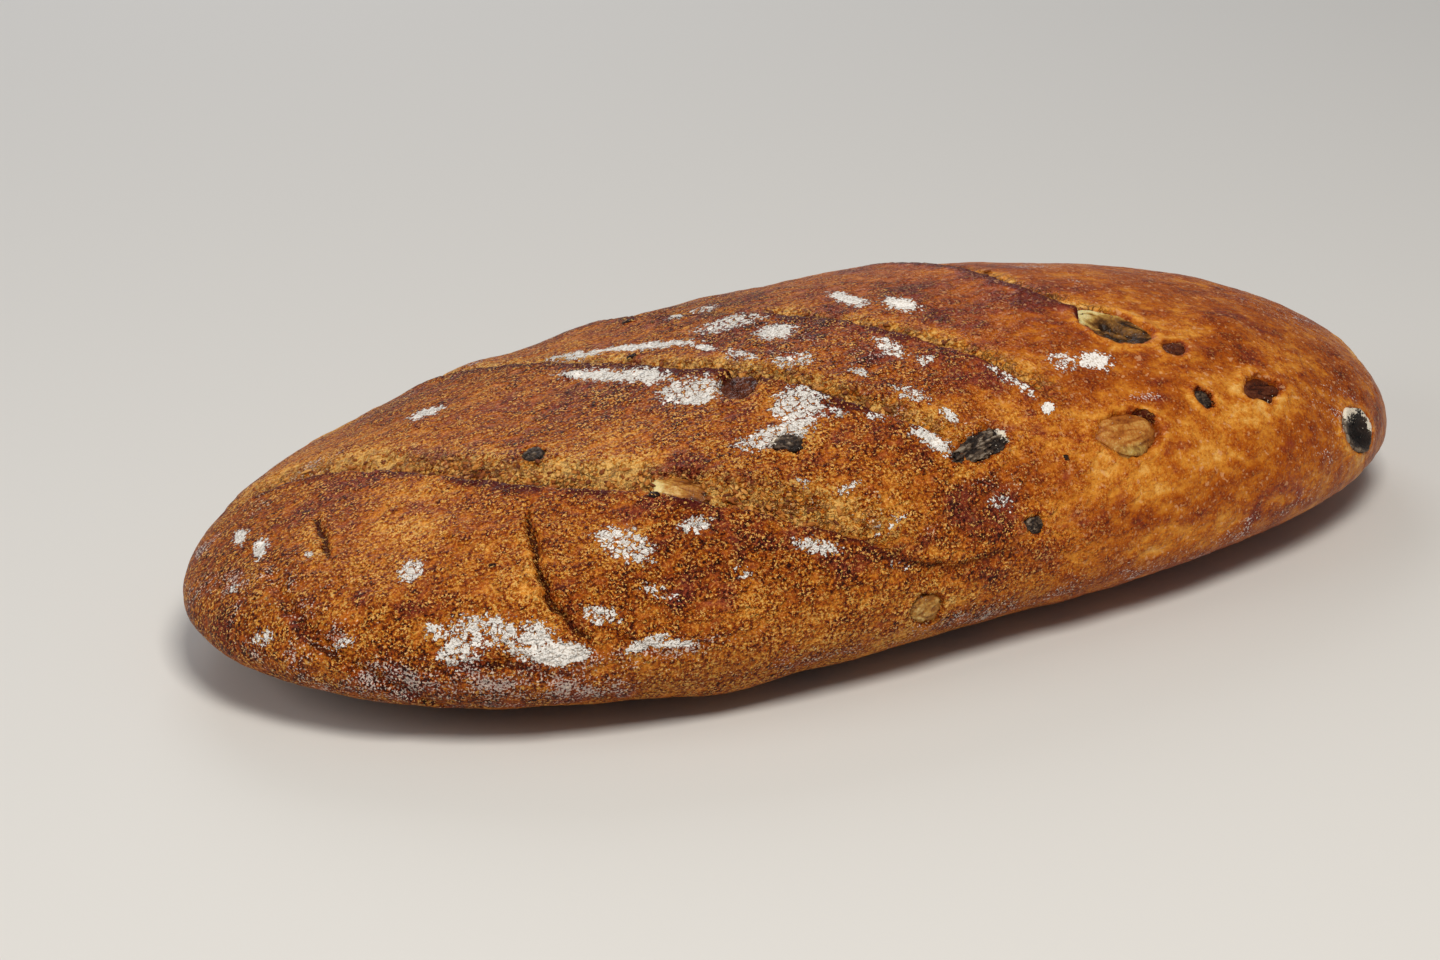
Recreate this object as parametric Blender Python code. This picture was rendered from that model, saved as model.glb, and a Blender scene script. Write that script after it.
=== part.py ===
"""Olive bread: a long hand-shaped loaf, slashed four times across its top, with olives in its crust.

X runs along the loaf, its front is at -Y and Z is up. The origin is the middle of the flat base.
A place on the crust is (along, lean): millimetres along X, and degrees leant over from the crest
towards the front, so 0 is the crest, 90 is the front side and -90 is the back.
"""
import math

import bmesh
import bpy
import numpy as np
from mathutils import Matrix, Vector, geometry, noise

MM = 0.001

# The plain loaf: its sizes, and shares that say how full it is
LENGTH = 290 * MM
WIDTH = 131 * MM
HEIGHT = 58 * MM
WAIST = 0.345 * HEIGHT        # height at which the loaf is widest
PLAN_FULLNESS = 2.85          # seen from above: 2 is an ellipse, more is blunter
PLAN_TAPER = -0.115           # the right half is the slimmer one
CREST_FULLNESS = 1.3          # seen from the side: 2 is an ellipse, 1 a gable roof
CREST_ROUNDING = 0.16         # how far the gable's top is rounded off
CREST_TAPER = 0.145           # the right half is the taller one
TIP_DROP = 4.5 * MM           # both tips hang below the waist
UPPER_SQUARENESS = 2.0        # cross-section above the waist: 2 is round
LOWER_SQUARENESS = 2.7        # and below it
SAG = 1.11                    # the underside would hang this much deeper without the tray

# How the crust is meshed: a fine grid, of which only the corners of squares are kept. A square
# starts at the coarsest side and is quartered until it fits the crust well enough. Edges of the
# mesh run along each slash and crack, and the grid's corners beside them are left out.
ROWS = 192
COLUMNS = 192
COARSEST = 8
MISFIT = 0.42 * MM
EDGE_STEP = 3.2 * MM          # how far apart the mesh's points are along such a line
EDGE_CLEAR = 1.5 * MM         # how far the grid keeps off it

GAP = 0.35 * MM               # between an olive and its socket in the bread
LARGE_SIZE = 9                # an olive longer than this, in millimetres, gets more facets
LARGE_OLIVE = (12, 8)         # facets round an olive, and from its top to its bottom
SMALL_OLIVE = (8, 6)
TRAY = (400 * MM, 300 * MM, 20 * MM)

# Broad and small unevenness of the dough: size of the waves and their height
WAVES = [(34 * MM, 0.45 * MM), (13 * MM, 0.35 * MM), (6 * MM, 0.14 * MM)]

# Slashes run from the back over the crest to the front. The dough on their front side swells to a
# lip of the height given, then drops to a rough bed that climbs back over the width given.
SLASHES = [
    dict(places=[(-128, -42), (-108, -11), (-86, 20), (-60, 40), (-36, 59), (-14, 77)],
         width=12.0, depth=2.3, lip=1.5, reach=11.0),
    dict(places=[(-79, -54), (-63, -26), (-44, 0), (-28, 15), (-8, 38), (6, 51)],
         width=8.5, depth=2.1, lip=1.9, reach=11.0),
    dict(places=[(-37, -50), (-20, -14), (3, 10), (21, 30), (32, 45)],
         width=8.0, depth=2.1, lip=1.8, reach=11.0),
    dict(places=[(26, -50), (41, -13), (47, 4), (56, 17), (60, 25)],
         width=9.0, depth=2.0, lip=1.6, reach=11.0),
]
SLASH_WALL = 2.2 * MM         # how soon the lip drops to the bed
CRUMB = 0.45 * MM             # roughness of the torn bed
CRUMB_SIZE = 2.6 * MM

# Folds are shallow steps where the dough was rolled up and its ends were tucked in
FOLDS = [
    dict(places=[(-131, 6), (-134, 36), (-131, 73), (-121, 103), (-108, 124)],
         width=4.5, depth=0.9, lip=0.7, reach=6.0),
    dict(places=[(-114, 92), (-100, 87), (-92, 97)], width=3.0, depth=0.7, lip=0.5, reach=5.0),
    dict(places=[(14, 79), (0, 81), (-13, 77), (-24, 69)], width=4.5, depth=1.0, lip=0.9, reach=5.0),
    dict(places=[(-82, 75), (-77, 83), (-72, 91)], width=2.5, depth=0.7, lip=0.4, reach=4.0),
    dict(places=[(-124, -60), (-60, -84), (30, -80), (96, -66)],
         width=5.0, depth=1.0, lip=0.8, reach=9.0),
    dict(places=[(133, -20), (135, 20), (130, 60)], width=3.0, depth=0.5, lip=0.5, reach=5.0),
]

# Cracks are narrow grooves that opened as the crust set
CRACKS = [
    dict(places=[(-84, 31), (-87, 42), (-89, 56), (-88, 68), (-84, 80)], width=1.8, depth=1.6),
    dict(places=[(-118, 4), (-120, 12), (-121, 19)], width=1.6, depth=0.6),
    dict(places=[(66, -72), (70, -84), (69, -95)], width=2.2, depth=1.2),
]

# Bumps and dents of the dough: place, size along the loaf and round it, height
SWELLINGS = [
    ((-63, -44), (20, 16), 1.6),
    ((-40, -38), (18, 12), 0.8),
    ((-14, 71), (9, 5), 1.1),
    ((-118, 48), (10, 8), 0.8),
    ((-59, -5), (8, 6), -0.5),
    ((-54, 118), (26, 9), 1.6),
    ((62, 108), (22, 9), 0.9),
    ((92, 24), (14, 10), 0.7),
    ((78, 40), (16, 7), -0.7),
    ((-58, 44), (9, 4), 0.6),
    ((-90, 62), (22, 14), 0.7),
    ((20, -62), (30, 18), 0.9),
]

# Pieces of olive. size: length, breadth, height. turn: the long side's angle from the loaf's
# length. stand: how far the top stands over the crust around it. sunk: how deep the crust dips to
# it. pit: depth of the stoned hollow in a cut piece.
OLIVES = dict(
    olive_far_top=dict(place=(62, 22), size=(18.5, 14.5, 8.0), turn=28, stand=0.9, sunk=1.0, pit=1.6,
                       colour="green"),
    olive_far_top_chip=dict(place=(72, 32.8), size=(6.5, 5.0, 5.0), turn=-10, stand=0.7, sunk=0.6,
                            colour="dark"),
    olive_far_side=dict(place=(46, 57), size=(16.0, 10.5, 7.0), turn=2, stand=1.0, sunk=0.3,
                        colour="green"),
    olive_far_dark=dict(place=(89, 50), size=(13.5, 8.0, 6.0), turn=0, stand=0.4, sunk=0.9,
                        colour="dark"),
    olive_far_small=dict(place=(71, 50), size=(4.8, 5.0, 4.0), turn=0, stand=0.4, sunk=0.4,
                         colour="dark"),
    olive_far_tip=dict(place=(116.5, 74), size=(13.5, 10.0, 8.0), turn=12, stand=0.8, sunk=0.6,
                       pit=1.3, colour="dark"),
    olive_charred=dict(place=(10.5, 52), size=(15.0, 6.0, 6.0), turn=-12, stand=0.8, sunk=0.2,
                       colour="dark"),
    olive_crest=dict(place=(-30, 17.5), size=(11.0, 8.5, 6.0), turn=-32, stand=0.2, sunk=1.0,
                     colour="dark"),
    olive_slash_small=dict(place=(-75, 13.5), size=(5.0, 4.6, 4.0), turn=10, stand=0.6, sunk=0.2,
                           colour="dark"),
    olive_floury=dict(place=(-29, 36.5), size=(7.0, 4.6, 4.4), turn=20, stand=0.4, sunk=0.1,
                      colour="dark"),
    olive_pale=dict(place=(-54.5, 38), size=(12.5, 8.0, 6.0), turn=42, stand=0.7, sunk=0.2,
                    colour="green"),
    olive_front_small=dict(place=(17, 76.5), size=(4.8, 3.8, 3.6), turn=0, stand=0.4, sunk=0.2,
                           colour="dark"),
    olive_front_low=dict(place=(-10.5, 94.5), size=(8.0, 7.0, 5.0), turn=0, stand=0.5, sunk=0.5,
                         colour="green"),
    olive_back_left=dict(place=(-92, -60), size=(12.0, 8.5, 6.5), turn=25, stand=0.7, sunk=0.6,
                         colour="dark"),
    olive_back_middle=dict(place=(-8, -72), size=(13.5, 9.5, 7.0), turn=-15, stand=0.8, sunk=0.8,
                           pit=1.5, colour="green"),
    olive_back_right=dict(place=(88, -56), size=(11.0, 7.5, 6.0), turn=8, stand=0.6, sunk=0.5,
                          colour="dark"),
    olive_back_small=dict(place=(44, -46), size=(6.0, 5.0, 4.2), turn=0, stand=0.5, sunk=0.3,
                          colour="dark"),
    olive_back_low=dict(place=(38, -92), size=(8.0, 6.0, 5.0), turn=-20, stand=0.5, sunk=0.3,
                        colour="dark"),
)
LUMPS = 0.09                  # how lumpy an olive is
HIDDEN = 1.12                 # an olive is this much wider under the crust than what shows of it
OLIVE_SQUARENESS = 2.9        # from the side: 2 is an ellipse, more has a flatter top
CUT_HEIGHT = 0.72             # a cut olive's height over its middle, as a share of a whole one's
OPENING = 1.5 * MM            # how far a socket is cut on above the olive, so that no crust is left there
OLIVE_DIP = 1.2               # the dip round an olive is this much larger than the olive
OLIVE_RIM = 0.3 * MM          # height of the crust's rim round that dip
COLOURS = dict(crust=(0.30, 0.11, 0.035), green=(0.30, 0.20, 0.06), dark=(0.055, 0.028, 0.02))


def clear_scene():
    """Remove what the file holds at the start."""
    for thing in list(bpy.data.objects):
        bpy.data.objects.remove(thing, do_unlink=True)


def finish_of(name, colour, roughness):
    """A plain material of one colour."""
    material = bpy.data.materials.new(name)
    material.use_nodes = True
    surface = material.node_tree.nodes["Principled BSDF"]
    surface.inputs["Base Color"].default_value = (*colour, 1)
    surface.inputs["Roughness"].default_value = roughness
    surface.inputs["Metallic"].default_value = 0
    return material


def smooth_step(value):
    """0 below 0, 1 above 1, and an even climb between."""
    value = np.clip(value, 0, 1)
    return value * value * (3 - 2 * value)


def unit(vectors):
    """Vectors of length 1."""
    return vectors / np.maximum(np.linalg.norm(vectors, axis=-1, keepdims=True), 1e-12)


def gable(share):
    """The crest's fall, 0 at the middle and 1 at the ends, with a rounded top."""
    flat = CREST_ROUNDING ** CREST_FULLNESS
    full = (1 + CREST_ROUNDING ** 2) ** (CREST_FULLNESS / 2)
    return ((share ** 2 + CREST_ROUNDING ** 2) ** (CREST_FULLNESS / 2) - flat) / (full - flat)


def plain_form(share, turn):
    """Points of the loaf before any relief.

    share goes from -1 to 1 along the loaf. turn goes round it in radians, from the back at 0 over
    the crest at a quarter turn to the front at half a turn.
    """
    plan = np.sqrt(np.clip(1 - np.abs(share) ** PLAN_FULLNESS, 0, 1))
    plan = plan * (1 + PLAN_TAPER * share * (1 - share ** 2))
    rise = np.sqrt(np.clip(1 - gable(share), 0, 1))
    waist = WAIST - TIP_DROP * share ** 2
    top = HEIGHT * (1 + CREST_TAPER * share)
    cos, sin = np.cos(turn), np.sin(turn)
    power = 2 / np.where(sin > 0, UPPER_SQUARENESS, LOWER_SQUARENESS)
    y = WIDTH / 2 * plan * np.sign(cos) * np.abs(cos) ** power
    up = (top - waist) * rise * np.abs(sin) ** power
    down = waist * SAG * plan * np.abs(sin) ** power
    z = waist + np.where(sin > 0, up, -down)
    return np.stack(np.broadcast_arrays(LENGTH / 2 * share, y, z), -1)


def crust(share, turn):
    """Points of the plain form, with the directions along it, down its front and straight out."""
    step = 1e-4
    along = unit(plain_form(share + step, turn) - plain_form(share - step, turn))
    down = unit(plain_form(share, turn + step) - plain_form(share, turn - step))
    return plain_form(share, turn), along, down, unit(np.cross(down, along))


def crust_at(place):
    """The same for places given as (along, lean)."""
    along_mm, lean = np.moveaxis(np.asarray(place, float), -1, 0)
    return crust(along_mm * MM / (LENGTH / 2), np.radians(90 + lean))


def smooth_places(places):
    """Many places on a smooth curve through a few."""
    ends = np.array([places[0], *places, places[-1]], float)
    share = np.linspace(0, 1, 24, endpoint=False)[:, None]
    bits = []
    for a, b, c, d in zip(ends, ends[1:], ends[2:], ends[3:]):
        bend = 2 * b + (c - a) * share + (2 * a - 5 * b + 4 * c - d) * share ** 2
        bits.append(0.5 * (bend + (3 * b - a - 3 * c + d) * share ** 3))
    return np.vstack([*bits, ends[-1:]])


def smooth_line(places):
    """A smooth line on the crust through the places: points, forward, sideways and share along."""
    point, _, _, out = crust_at(smooth_places(places))
    forward = unit(np.gradient(point, axis=0))
    return point, forward, np.cross(out, forward), np.linspace(0, 1, len(point))


def beside(places, offset):
    """The smooth curve through the places, moved sideways on the crust, as places."""
    curve = smooth_places(places)
    point, _, sideways, _ = smooth_line(places)
    step = 0.01
    per_along = (crust_at(curve + (step, 0))[0] - point) / step
    per_lean = (crust_at(curve + (0, step))[0] - point) / step
    both = np.stack([per_along, per_lean], 1)
    move = np.linalg.solve(both @ both.transpose(0, 2, 1), both @ sideways[..., None])[..., 0]
    return curve + offset * move


def across(points, places):
    """How far each point lies sideways of a line, and how strong the line is there, 0 to 1."""
    line, forward, sideways, share = smooth_line(places)
    square = (points ** 2).sum(1)[:, None] - 2 * points @ line.T + (line ** 2).sum(1)
    nearest = square.argmin(1)
    gap = points - line[nearest]
    offset = (gap * sideways[nearest]).sum(1)
    beyond = np.abs((gap * forward[nearest]).sum(1))
    away = np.sqrt(np.maximum(square.min(1), 0))
    taper = np.sin(math.pi * np.clip(share[nearest], 0.02, 0.98)) ** 0.5
    near = 1 - smooth_step((away - 30 * MM) / (12 * MM))
    return offset, taper * np.exp(-(beyond / (2.5 * MM)) ** 2) * near


def waves(points, size, shift=0.0):
    """Even noise of the given size, between about -1 and 1."""
    offset = Vector((shift, shift * 0.7, shift * 1.3))
    return np.array([noise.noise(Vector(p) / size + offset) for p in points])


def step_relief(points, line):
    """A slash or a fold: a swelling lip, a drop, and a bed that climbs back."""
    offset, strength = across(points, line["places"])
    width, depth = line["width"] * MM, line["depth"] * MM
    swell = line["lip"] * MM * np.exp(np.minimum(offset, 0) / (line["reach"] * MM))
    wall = smooth_step(offset / SLASH_WALL)
    bed = -depth * (1 - smooth_step((offset - SLASH_WALL) / (width - SLASH_WALL)))
    torn = wall * (1 - smooth_step((offset - 0.7 * width) / (0.6 * width)))
    return strength * (swell * (1 - wall) + bed * wall), strength * torn


def crack_relief(points, line):
    """A narrow groove with a low lip on both sides."""
    offset, strength = across(points, line["places"])
    spread = np.abs(offset) / (line["width"] * MM / 2)
    return strength * line["depth"] * MM * (0.35 * np.exp(-(spread - 1.8) ** 2) - np.exp(-spread ** 2))


def spread_from(points, place, size, turn=0.0):
    """Distance from a place, as 1 on the edge of an ellipse of that size on the crust."""
    centre, along, down, out = crust_at(place)
    long = along * math.cos(math.radians(turn)) + down * math.sin(math.radians(turn))
    short = np.cross(long, out)
    gap = points - centre
    spread = np.hypot(gap @ long / (size[0] / 2 * MM), gap @ short / (size[1] / 2 * MM))
    return np.where(np.abs(gap @ out) < 15 * MM, spread, 99)


def relief(points):
    """How far the crust stands out from the plain form at each point."""
    out = sum(height * waves(points, size, number) for number, (size, height) in enumerate(WAVES))
    torn = 0
    for line in SLASHES:
        step, bed = step_relief(points, line)
        out = out + step
        torn = np.maximum(torn, bed)
    out = out + torn * CRUMB * waves(points, CRUMB_SIZE, 3.1)
    for line in FOLDS:
        out = out + step_relief(points, line)[0]
    for line in CRACKS:
        out = out + crack_relief(points, line)
    for place, size, height in SWELLINGS:
        out = out + height * MM * np.exp(-spread_from(points, place, size) ** 2)
    for olive in OLIVES.values():
        spread = spread_from(points, olive["place"], olive["size"], olive["turn"]) / OLIVE_DIP
        out = out - olive["sunk"] * MM * (1 - smooth_step(spread * 1.6 - 0.6))
        out = out + OLIVE_RIM * np.exp(-((spread - 1.15) / 0.2) ** 2)
    return out


def misfit(patch, out):
    """How far a patch of the grid stands off the flat square on its corners."""
    down = np.linspace(0, 1, len(patch))[:, None, None]
    right = down.reshape(1, -1, 1)
    near = patch[0, 0] * (1 - down) + patch[-1, 0] * down
    far = patch[0, -1] * (1 - down) + patch[-1, -1] * down
    flat = near * (1 - right) + far * right
    return np.abs(((patch - flat) * out).sum(-1)).max()


def kept_corners(point, out):
    """The grid's points that the mesh keeps, as (row, column): close at the slashes, wide elsewhere."""
    steps = range(0, ROWS, COARSEST), range(0, COLUMNS, COARSEST)
    squares = [(row, column, COARSEST) for row in steps[0] for column in steps[1]]
    kept = set()
    while squares:
        row, column, side = squares.pop()
        inside = np.s_[row:row + side + 1, column:column + side + 1]
        half = side // 2
        if half and misfit(point[inside], out[inside]) > MISFIT:
            squares += [(row + a, column + b, half) for a in (0, half) for b in (0, half)]
        else:
            kept |= {(row + a, column + b) for a in (0, side) for b in (0, side)}
    seam = {row for row, column in kept if column in (0, COLUMNS)}
    kept |= {(row, column) for row in seam for column in (0, COLUMNS)}
    return sorted(kept)


def edge_lines():
    """The lines that the mesh follows, as places: top, foot and end of each slash, sides of each crack."""
    lines = []
    for line in SLASHES:
        lines += [beside(line["places"], offset) for offset in (0, SLASH_WALL, line["width"] * MM)]
    for line in CRACKS:
        lines += [beside(line["places"], side * line["width"] * MM) for side in (-1, 0, 1)]
    return lines


def edge_points(lines):
    """Places at even steps along the lines, pairs of their numbers for the edges that join them."""
    places, edges, before = [], [], []
    for line in lines:
        point = crust_at(line)[0]
        free = np.ones(len(line), bool)
        for other in before:
            free &= np.linalg.norm(point[:, None] - other, axis=2).min(1) > EDGE_CLEAR
        before.append(point)
        length = np.linalg.norm(np.diff(point, axis=0), axis=1).sum()
        count = round(length / EDGE_STEP)
        steps = np.linspace(0, len(line) - 1, count + 1).round().astype(int)
        last = None
        for step, place in enumerate(steps):
            if free[place]:
                if last == step - 1:
                    edges.append((len(places) - 1, len(places)))
                last = step
                places.append(line[place])
    return np.array(places), edges


def grid_places(places):
    """Rows and columns of the grid, in fractions, for places on the crust."""
    rows = (np.arcsin(places[:, 0] * MM / (LENGTH / 2)) / math.pi + 0.5) * (ROWS + 2) - 1
    columns = (places[:, 1] / 360 + 0.5) * COLUMNS
    return zip(rows, columns)


def clear_of(corner, plain, lines):
    """Whether a corner of the grid keeps off the lines. Those at the seam and the tips always stay."""
    row, column = corner
    if column in (0, COLUMNS) or row in (0, ROWS):
        return True
    return ((lines - plain[corner]) ** 2).sum(1).min() > EDGE_CLEAR ** 2


def loaf_mesh():
    """The crust: a grid with its seam along the underside, thinned out and closed at both tips."""
    angle = np.linspace(-math.pi / 2, math.pi / 2, ROWS + 3)[1:-1, None]
    turn = np.linspace(-math.pi / 2, 1.5 * math.pi, COLUMNS + 1)[None]
    plain, _, _, out = crust(np.sin(angle) + 0 * turn, turn + 0 * angle)
    point = plain + out * relief(plain.reshape(-1, 3)).reshape(*plain.shape[:2], 1)
    lines = edge_lines()
    line_points = crust_at(np.vstack(lines))[0]
    kept = [corner for corner in kept_corners(point, out) if clear_of(corner, plain, line_points)]

    extra, edges = edge_points(lines)
    flat = [Vector(corner) for corner in [*kept, *grid_places(extra)]]
    edges = [(len(kept) + a, len(kept) + b) for a, b in edges]
    faces = geometry.delaunay_2d_cdt(flat, edges, [], 0, 1e-6)[2]

    # The seam's two sides are one line of points
    number = {}
    for corner in kept:
        number.setdefault((corner[0], corner[1] % COLUMNS), len(number))
    index = [number[row, column % COLUMNS] for row, column in kept]
    index += range(len(number), len(number) + len(extra))
    corners = [point[row, column] for row, column in number]
    extra_point, _, _, extra_out = crust_at(extra)
    corners += list(extra_point + extra_out * relief(extra_point)[:, None])
    faces = [[index[corner] for corner in face[::-1]] for face in faces]

    tips = plain_form(np.array([-1.0, 1.0]), np.zeros(2))
    for row, tip in ((0, len(corners)), (ROWS, len(corners) + 1)):
        ring = [index[place] for place, corner in enumerate(kept) if corner[0] == row]
        fan = [[tip, a, b] for a, b in zip(ring, ring[1:])]
        faces += fan if row else [face[::-1] for face in fan]
    mesh = bpy.data.meshes.new("loaf")
    mesh.from_pydata(np.vstack([corners, tips]).tolist(), [], faces)
    return mesh


def olive_mesh(name, olive, grow=0.0):
    """A piece of olive, its long side along X and the side that shows up.

    Grown, it is the hole that the olive sits in: larger all round, and without the stoned hollow.
    """
    shape = bmesh.new()
    around, down = LARGE_OLIVE if max(olive["size"]) > LARGE_SIZE else SMALL_OLIVE
    bmesh.ops.create_uvsphere(shape, u_segments=around, v_segments=down, radius=1)
    half = Vector(olive["size"]) * MM / 2
    seed = Vector((*olive["place"], 0)) / 10
    for point in shape.verts:
        way = point.co.copy()
        middle = math.hypot(way.x, way.y)
        full = (middle ** OLIVE_SQUARENESS + abs(way.z) ** OLIVE_SQUARENESS) ** (-1 / OLIVE_SQUARENESS)
        lump = full * (1 + LUMPS * noise.noise(way * 1.4 + seed))
        point.co = Vector((way.x * half.x * HIDDEN, way.y * half.y * HIDDEN, way.z * half.z)) * lump
        if "pit" in olive and way.z > 0 and not grow:
            hollow = 1 - smooth_step((middle - 0.25) / 0.5)
            point.co.z = min(point.co.z, CUT_HEIGHT * half.z) - olive["pit"] * MM * hollow
    shape.normal_update()
    for point, normal in [(p, p.normal.copy()) for p in shape.verts]:
        point.co += normal * grow
        if grow:
            point.co.z += OPENING * smooth_step((point.co.z / half.z - 0.5) / 0.3)
    mesh = bpy.data.meshes.new(name)
    shape.to_mesh(mesh)
    shape.free()
    mesh.shade_smooth()
    return mesh


def olive_pose(olive):
    """Where an olive lies: its long side, its short side and its top, seated in the crust."""
    centre, along, down, out = crust_at(olive["place"])
    turn = math.radians(olive["turn"])
    long = Vector(along * math.cos(turn) + down * math.sin(turn))
    up = Vector(out)
    top = olive["size"][2] / 2 * (CUT_HEIGHT if "pit" in olive else 1)
    seat = relief(centre[None])[0] + (olive["stand"] - top) * MM
    pose = Matrix((long, up.cross(long), up)).transposed().to_4x4()
    pose.translation = Vector(centre) + up * seat
    return pose


def place_object(name, mesh, material, pose):
    """Put a mesh in the scene by its location and rotation."""
    thing = bpy.data.objects.new(name, mesh)
    thing.location = pose.to_translation()
    thing.rotation_euler = pose.to_euler()
    if material:
        mesh.materials.append(material)
    return thing


def make_cutter(name, mesh, pose, cutters):
    """An object that only cuts the loaf."""
    cutter = place_object(name, mesh, None, pose)
    cutter.hide_render = True
    cutter.display_type = 'WIRE'
    cutters.objects.link(cutter)


def tray_mesh():
    """The tray that the loaf was baked on, as the block that flattens its underside."""
    block = bmesh.new()
    bmesh.ops.create_cube(block, size=1)
    bmesh.ops.scale(block, vec=TRAY, verts=block.verts)
    bmesh.ops.translate(block, vec=(0, 0, -TRAY[2] / 2), verts=block.verts)
    mesh = bpy.data.meshes.new("tray_cut")
    block.to_mesh(mesh)
    block.free()
    return mesh


def build():
    """The loaf with its sockets, and the olives in them."""
    clear_scene()
    scene = bpy.context.scene.collection
    cutters = bpy.data.collections.new("cutters")
    scene.children.link(cutters)
    finishes = {name: finish_of(name, colour, 0.35 if name != "crust" else 0.6)
                for name, colour in COLOURS.items()}

    make_cutter("tray_cut", tray_mesh(), Matrix(), cutters)
    for name, olive in OLIVES.items():
        pose = olive_pose(olive)
        scene.objects.link(place_object(name, olive_mesh(name, olive), finishes[olive["colour"]], pose))
        make_cutter(name + "_socket", olive_mesh(name + "_socket", olive, GAP), pose, cutters)

    loaf = place_object("loaf", loaf_mesh(), finishes["crust"], Matrix())
    loaf.data.shade_smooth()
    scene.objects.link(loaf)
    carve = loaf.modifiers.new("base and sockets", 'BOOLEAN')
    carve.operation = 'DIFFERENCE'
    carve.operand_type = 'COLLECTION'
    carve.collection = cutters
    carve.solver = 'EXACT'


build()
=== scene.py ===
# %% [markdown]
# # Olive bread
# The real thing is a long loaf, shaped by hand, dusted with flour, slashed four times on the
# slant and baked on a tray. Pieces of olive stick out of its crust. A loaf is one continuous
# skin, so it is built here as one fine grid of points: first its plain form, then the relief of
# slashes, folds and cracks, and then a crust material that reads where each of them is.
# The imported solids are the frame. Everything is in metres, and MM turns millimetres into them.

# %% Load the frame
import math

import bmesh
import bpy
import numpy as np
from mathutils import Matrix, Vector, noise


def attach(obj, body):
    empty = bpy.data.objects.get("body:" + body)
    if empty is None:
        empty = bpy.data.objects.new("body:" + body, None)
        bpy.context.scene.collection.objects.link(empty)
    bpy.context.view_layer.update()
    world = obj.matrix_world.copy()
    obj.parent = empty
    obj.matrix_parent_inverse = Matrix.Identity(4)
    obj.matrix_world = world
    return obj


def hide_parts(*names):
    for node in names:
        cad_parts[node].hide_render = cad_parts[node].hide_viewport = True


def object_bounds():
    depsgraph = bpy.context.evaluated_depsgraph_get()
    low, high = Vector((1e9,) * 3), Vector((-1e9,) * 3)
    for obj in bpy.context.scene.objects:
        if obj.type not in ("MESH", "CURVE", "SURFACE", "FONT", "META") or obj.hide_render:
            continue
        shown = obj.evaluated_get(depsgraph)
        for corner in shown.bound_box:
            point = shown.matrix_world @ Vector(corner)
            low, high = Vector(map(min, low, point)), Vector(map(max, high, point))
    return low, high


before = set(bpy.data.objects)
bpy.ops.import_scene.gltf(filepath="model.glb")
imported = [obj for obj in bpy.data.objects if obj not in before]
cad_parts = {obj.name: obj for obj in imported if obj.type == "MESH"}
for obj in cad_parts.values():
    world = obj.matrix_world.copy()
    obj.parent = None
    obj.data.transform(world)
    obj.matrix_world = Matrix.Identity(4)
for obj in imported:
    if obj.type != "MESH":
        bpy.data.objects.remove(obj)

MM = 0.001
cad_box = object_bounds()
box_size = [round(c / MM, 1) for c in cad_box[1] - cad_box[0]]
print("frame:", len(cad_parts), "solids, box", box_size, "mm")

# %% [markdown]
# ## The plain form
# Before any relief the loaf is a rounded bar that narrows to two blunt tips. Seen from above its
# outline is a superellipse, an ellipse with its corners filled out. Seen from the side its crest
# falls like a gable with a rounded top. A cross-section is round above the waist and squarer
# below it, where the dough spread on the tray. One formula gives a point for each share along
# the loaf and each turn round it, so the shape can be made as fine as the picture needs.

# %% Sizes of the plain form
LENGTH = 290 * MM
WIDTH = 131 * MM
HEIGHT = 58 * MM
WAIST = 0.345 * HEIGHT        # height at which the loaf is widest
PLAN_FULLNESS = 2.85          # seen from above: 2 is an ellipse, more is blunter
PLAN_TAPER = -0.115           # the right half is the slimmer one
CREST_FULLNESS = 1.3          # seen from the side: 2 is an ellipse, 1 a gable roof
CREST_ROUNDING = 0.16         # how far the gable's top is rounded off
CREST_TAPER = 0.145           # the right half is the taller one
TIP_DROP = 4.5 * MM           # both tips hang below the waist
UPPER_SQUARENESS = 2.0        # cross-section above the waist: 2 is round
LOWER_SQUARENESS = 2.7        # and below it
SAG = 1.11                    # the underside would hang this much deeper without the tray


# %% Points of the plain form
def smooth_step(value):
    """0 below 0, 1 above 1, and an even climb between."""
    value = np.clip(value, 0, 1)
    return value * value * (3 - 2 * value)


def fade(value, start, length):
    """1 up to the start, and an even fall to 0 over the length."""
    return 1 - smooth_step((value - start) / length)


def bell(value, middle, breadth):
    """1 at the middle, about a third at the breadth to either side, and then 0."""
    return np.exp(-((value - middle) / breadth) ** 2)


def unit(vectors):
    """Vectors of length 1."""
    return vectors / np.maximum(np.linalg.norm(vectors, axis=-1, keepdims=True), 1e-12)


def gable(share):
    """The crest's fall, 0 at the middle and 1 at the ends, with a rounded top."""
    flat = CREST_ROUNDING ** CREST_FULLNESS
    full = (1 + CREST_ROUNDING ** 2) ** (CREST_FULLNESS / 2)
    return ((share ** 2 + CREST_ROUNDING ** 2) ** (CREST_FULLNESS / 2) - flat) / (full - flat)


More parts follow.
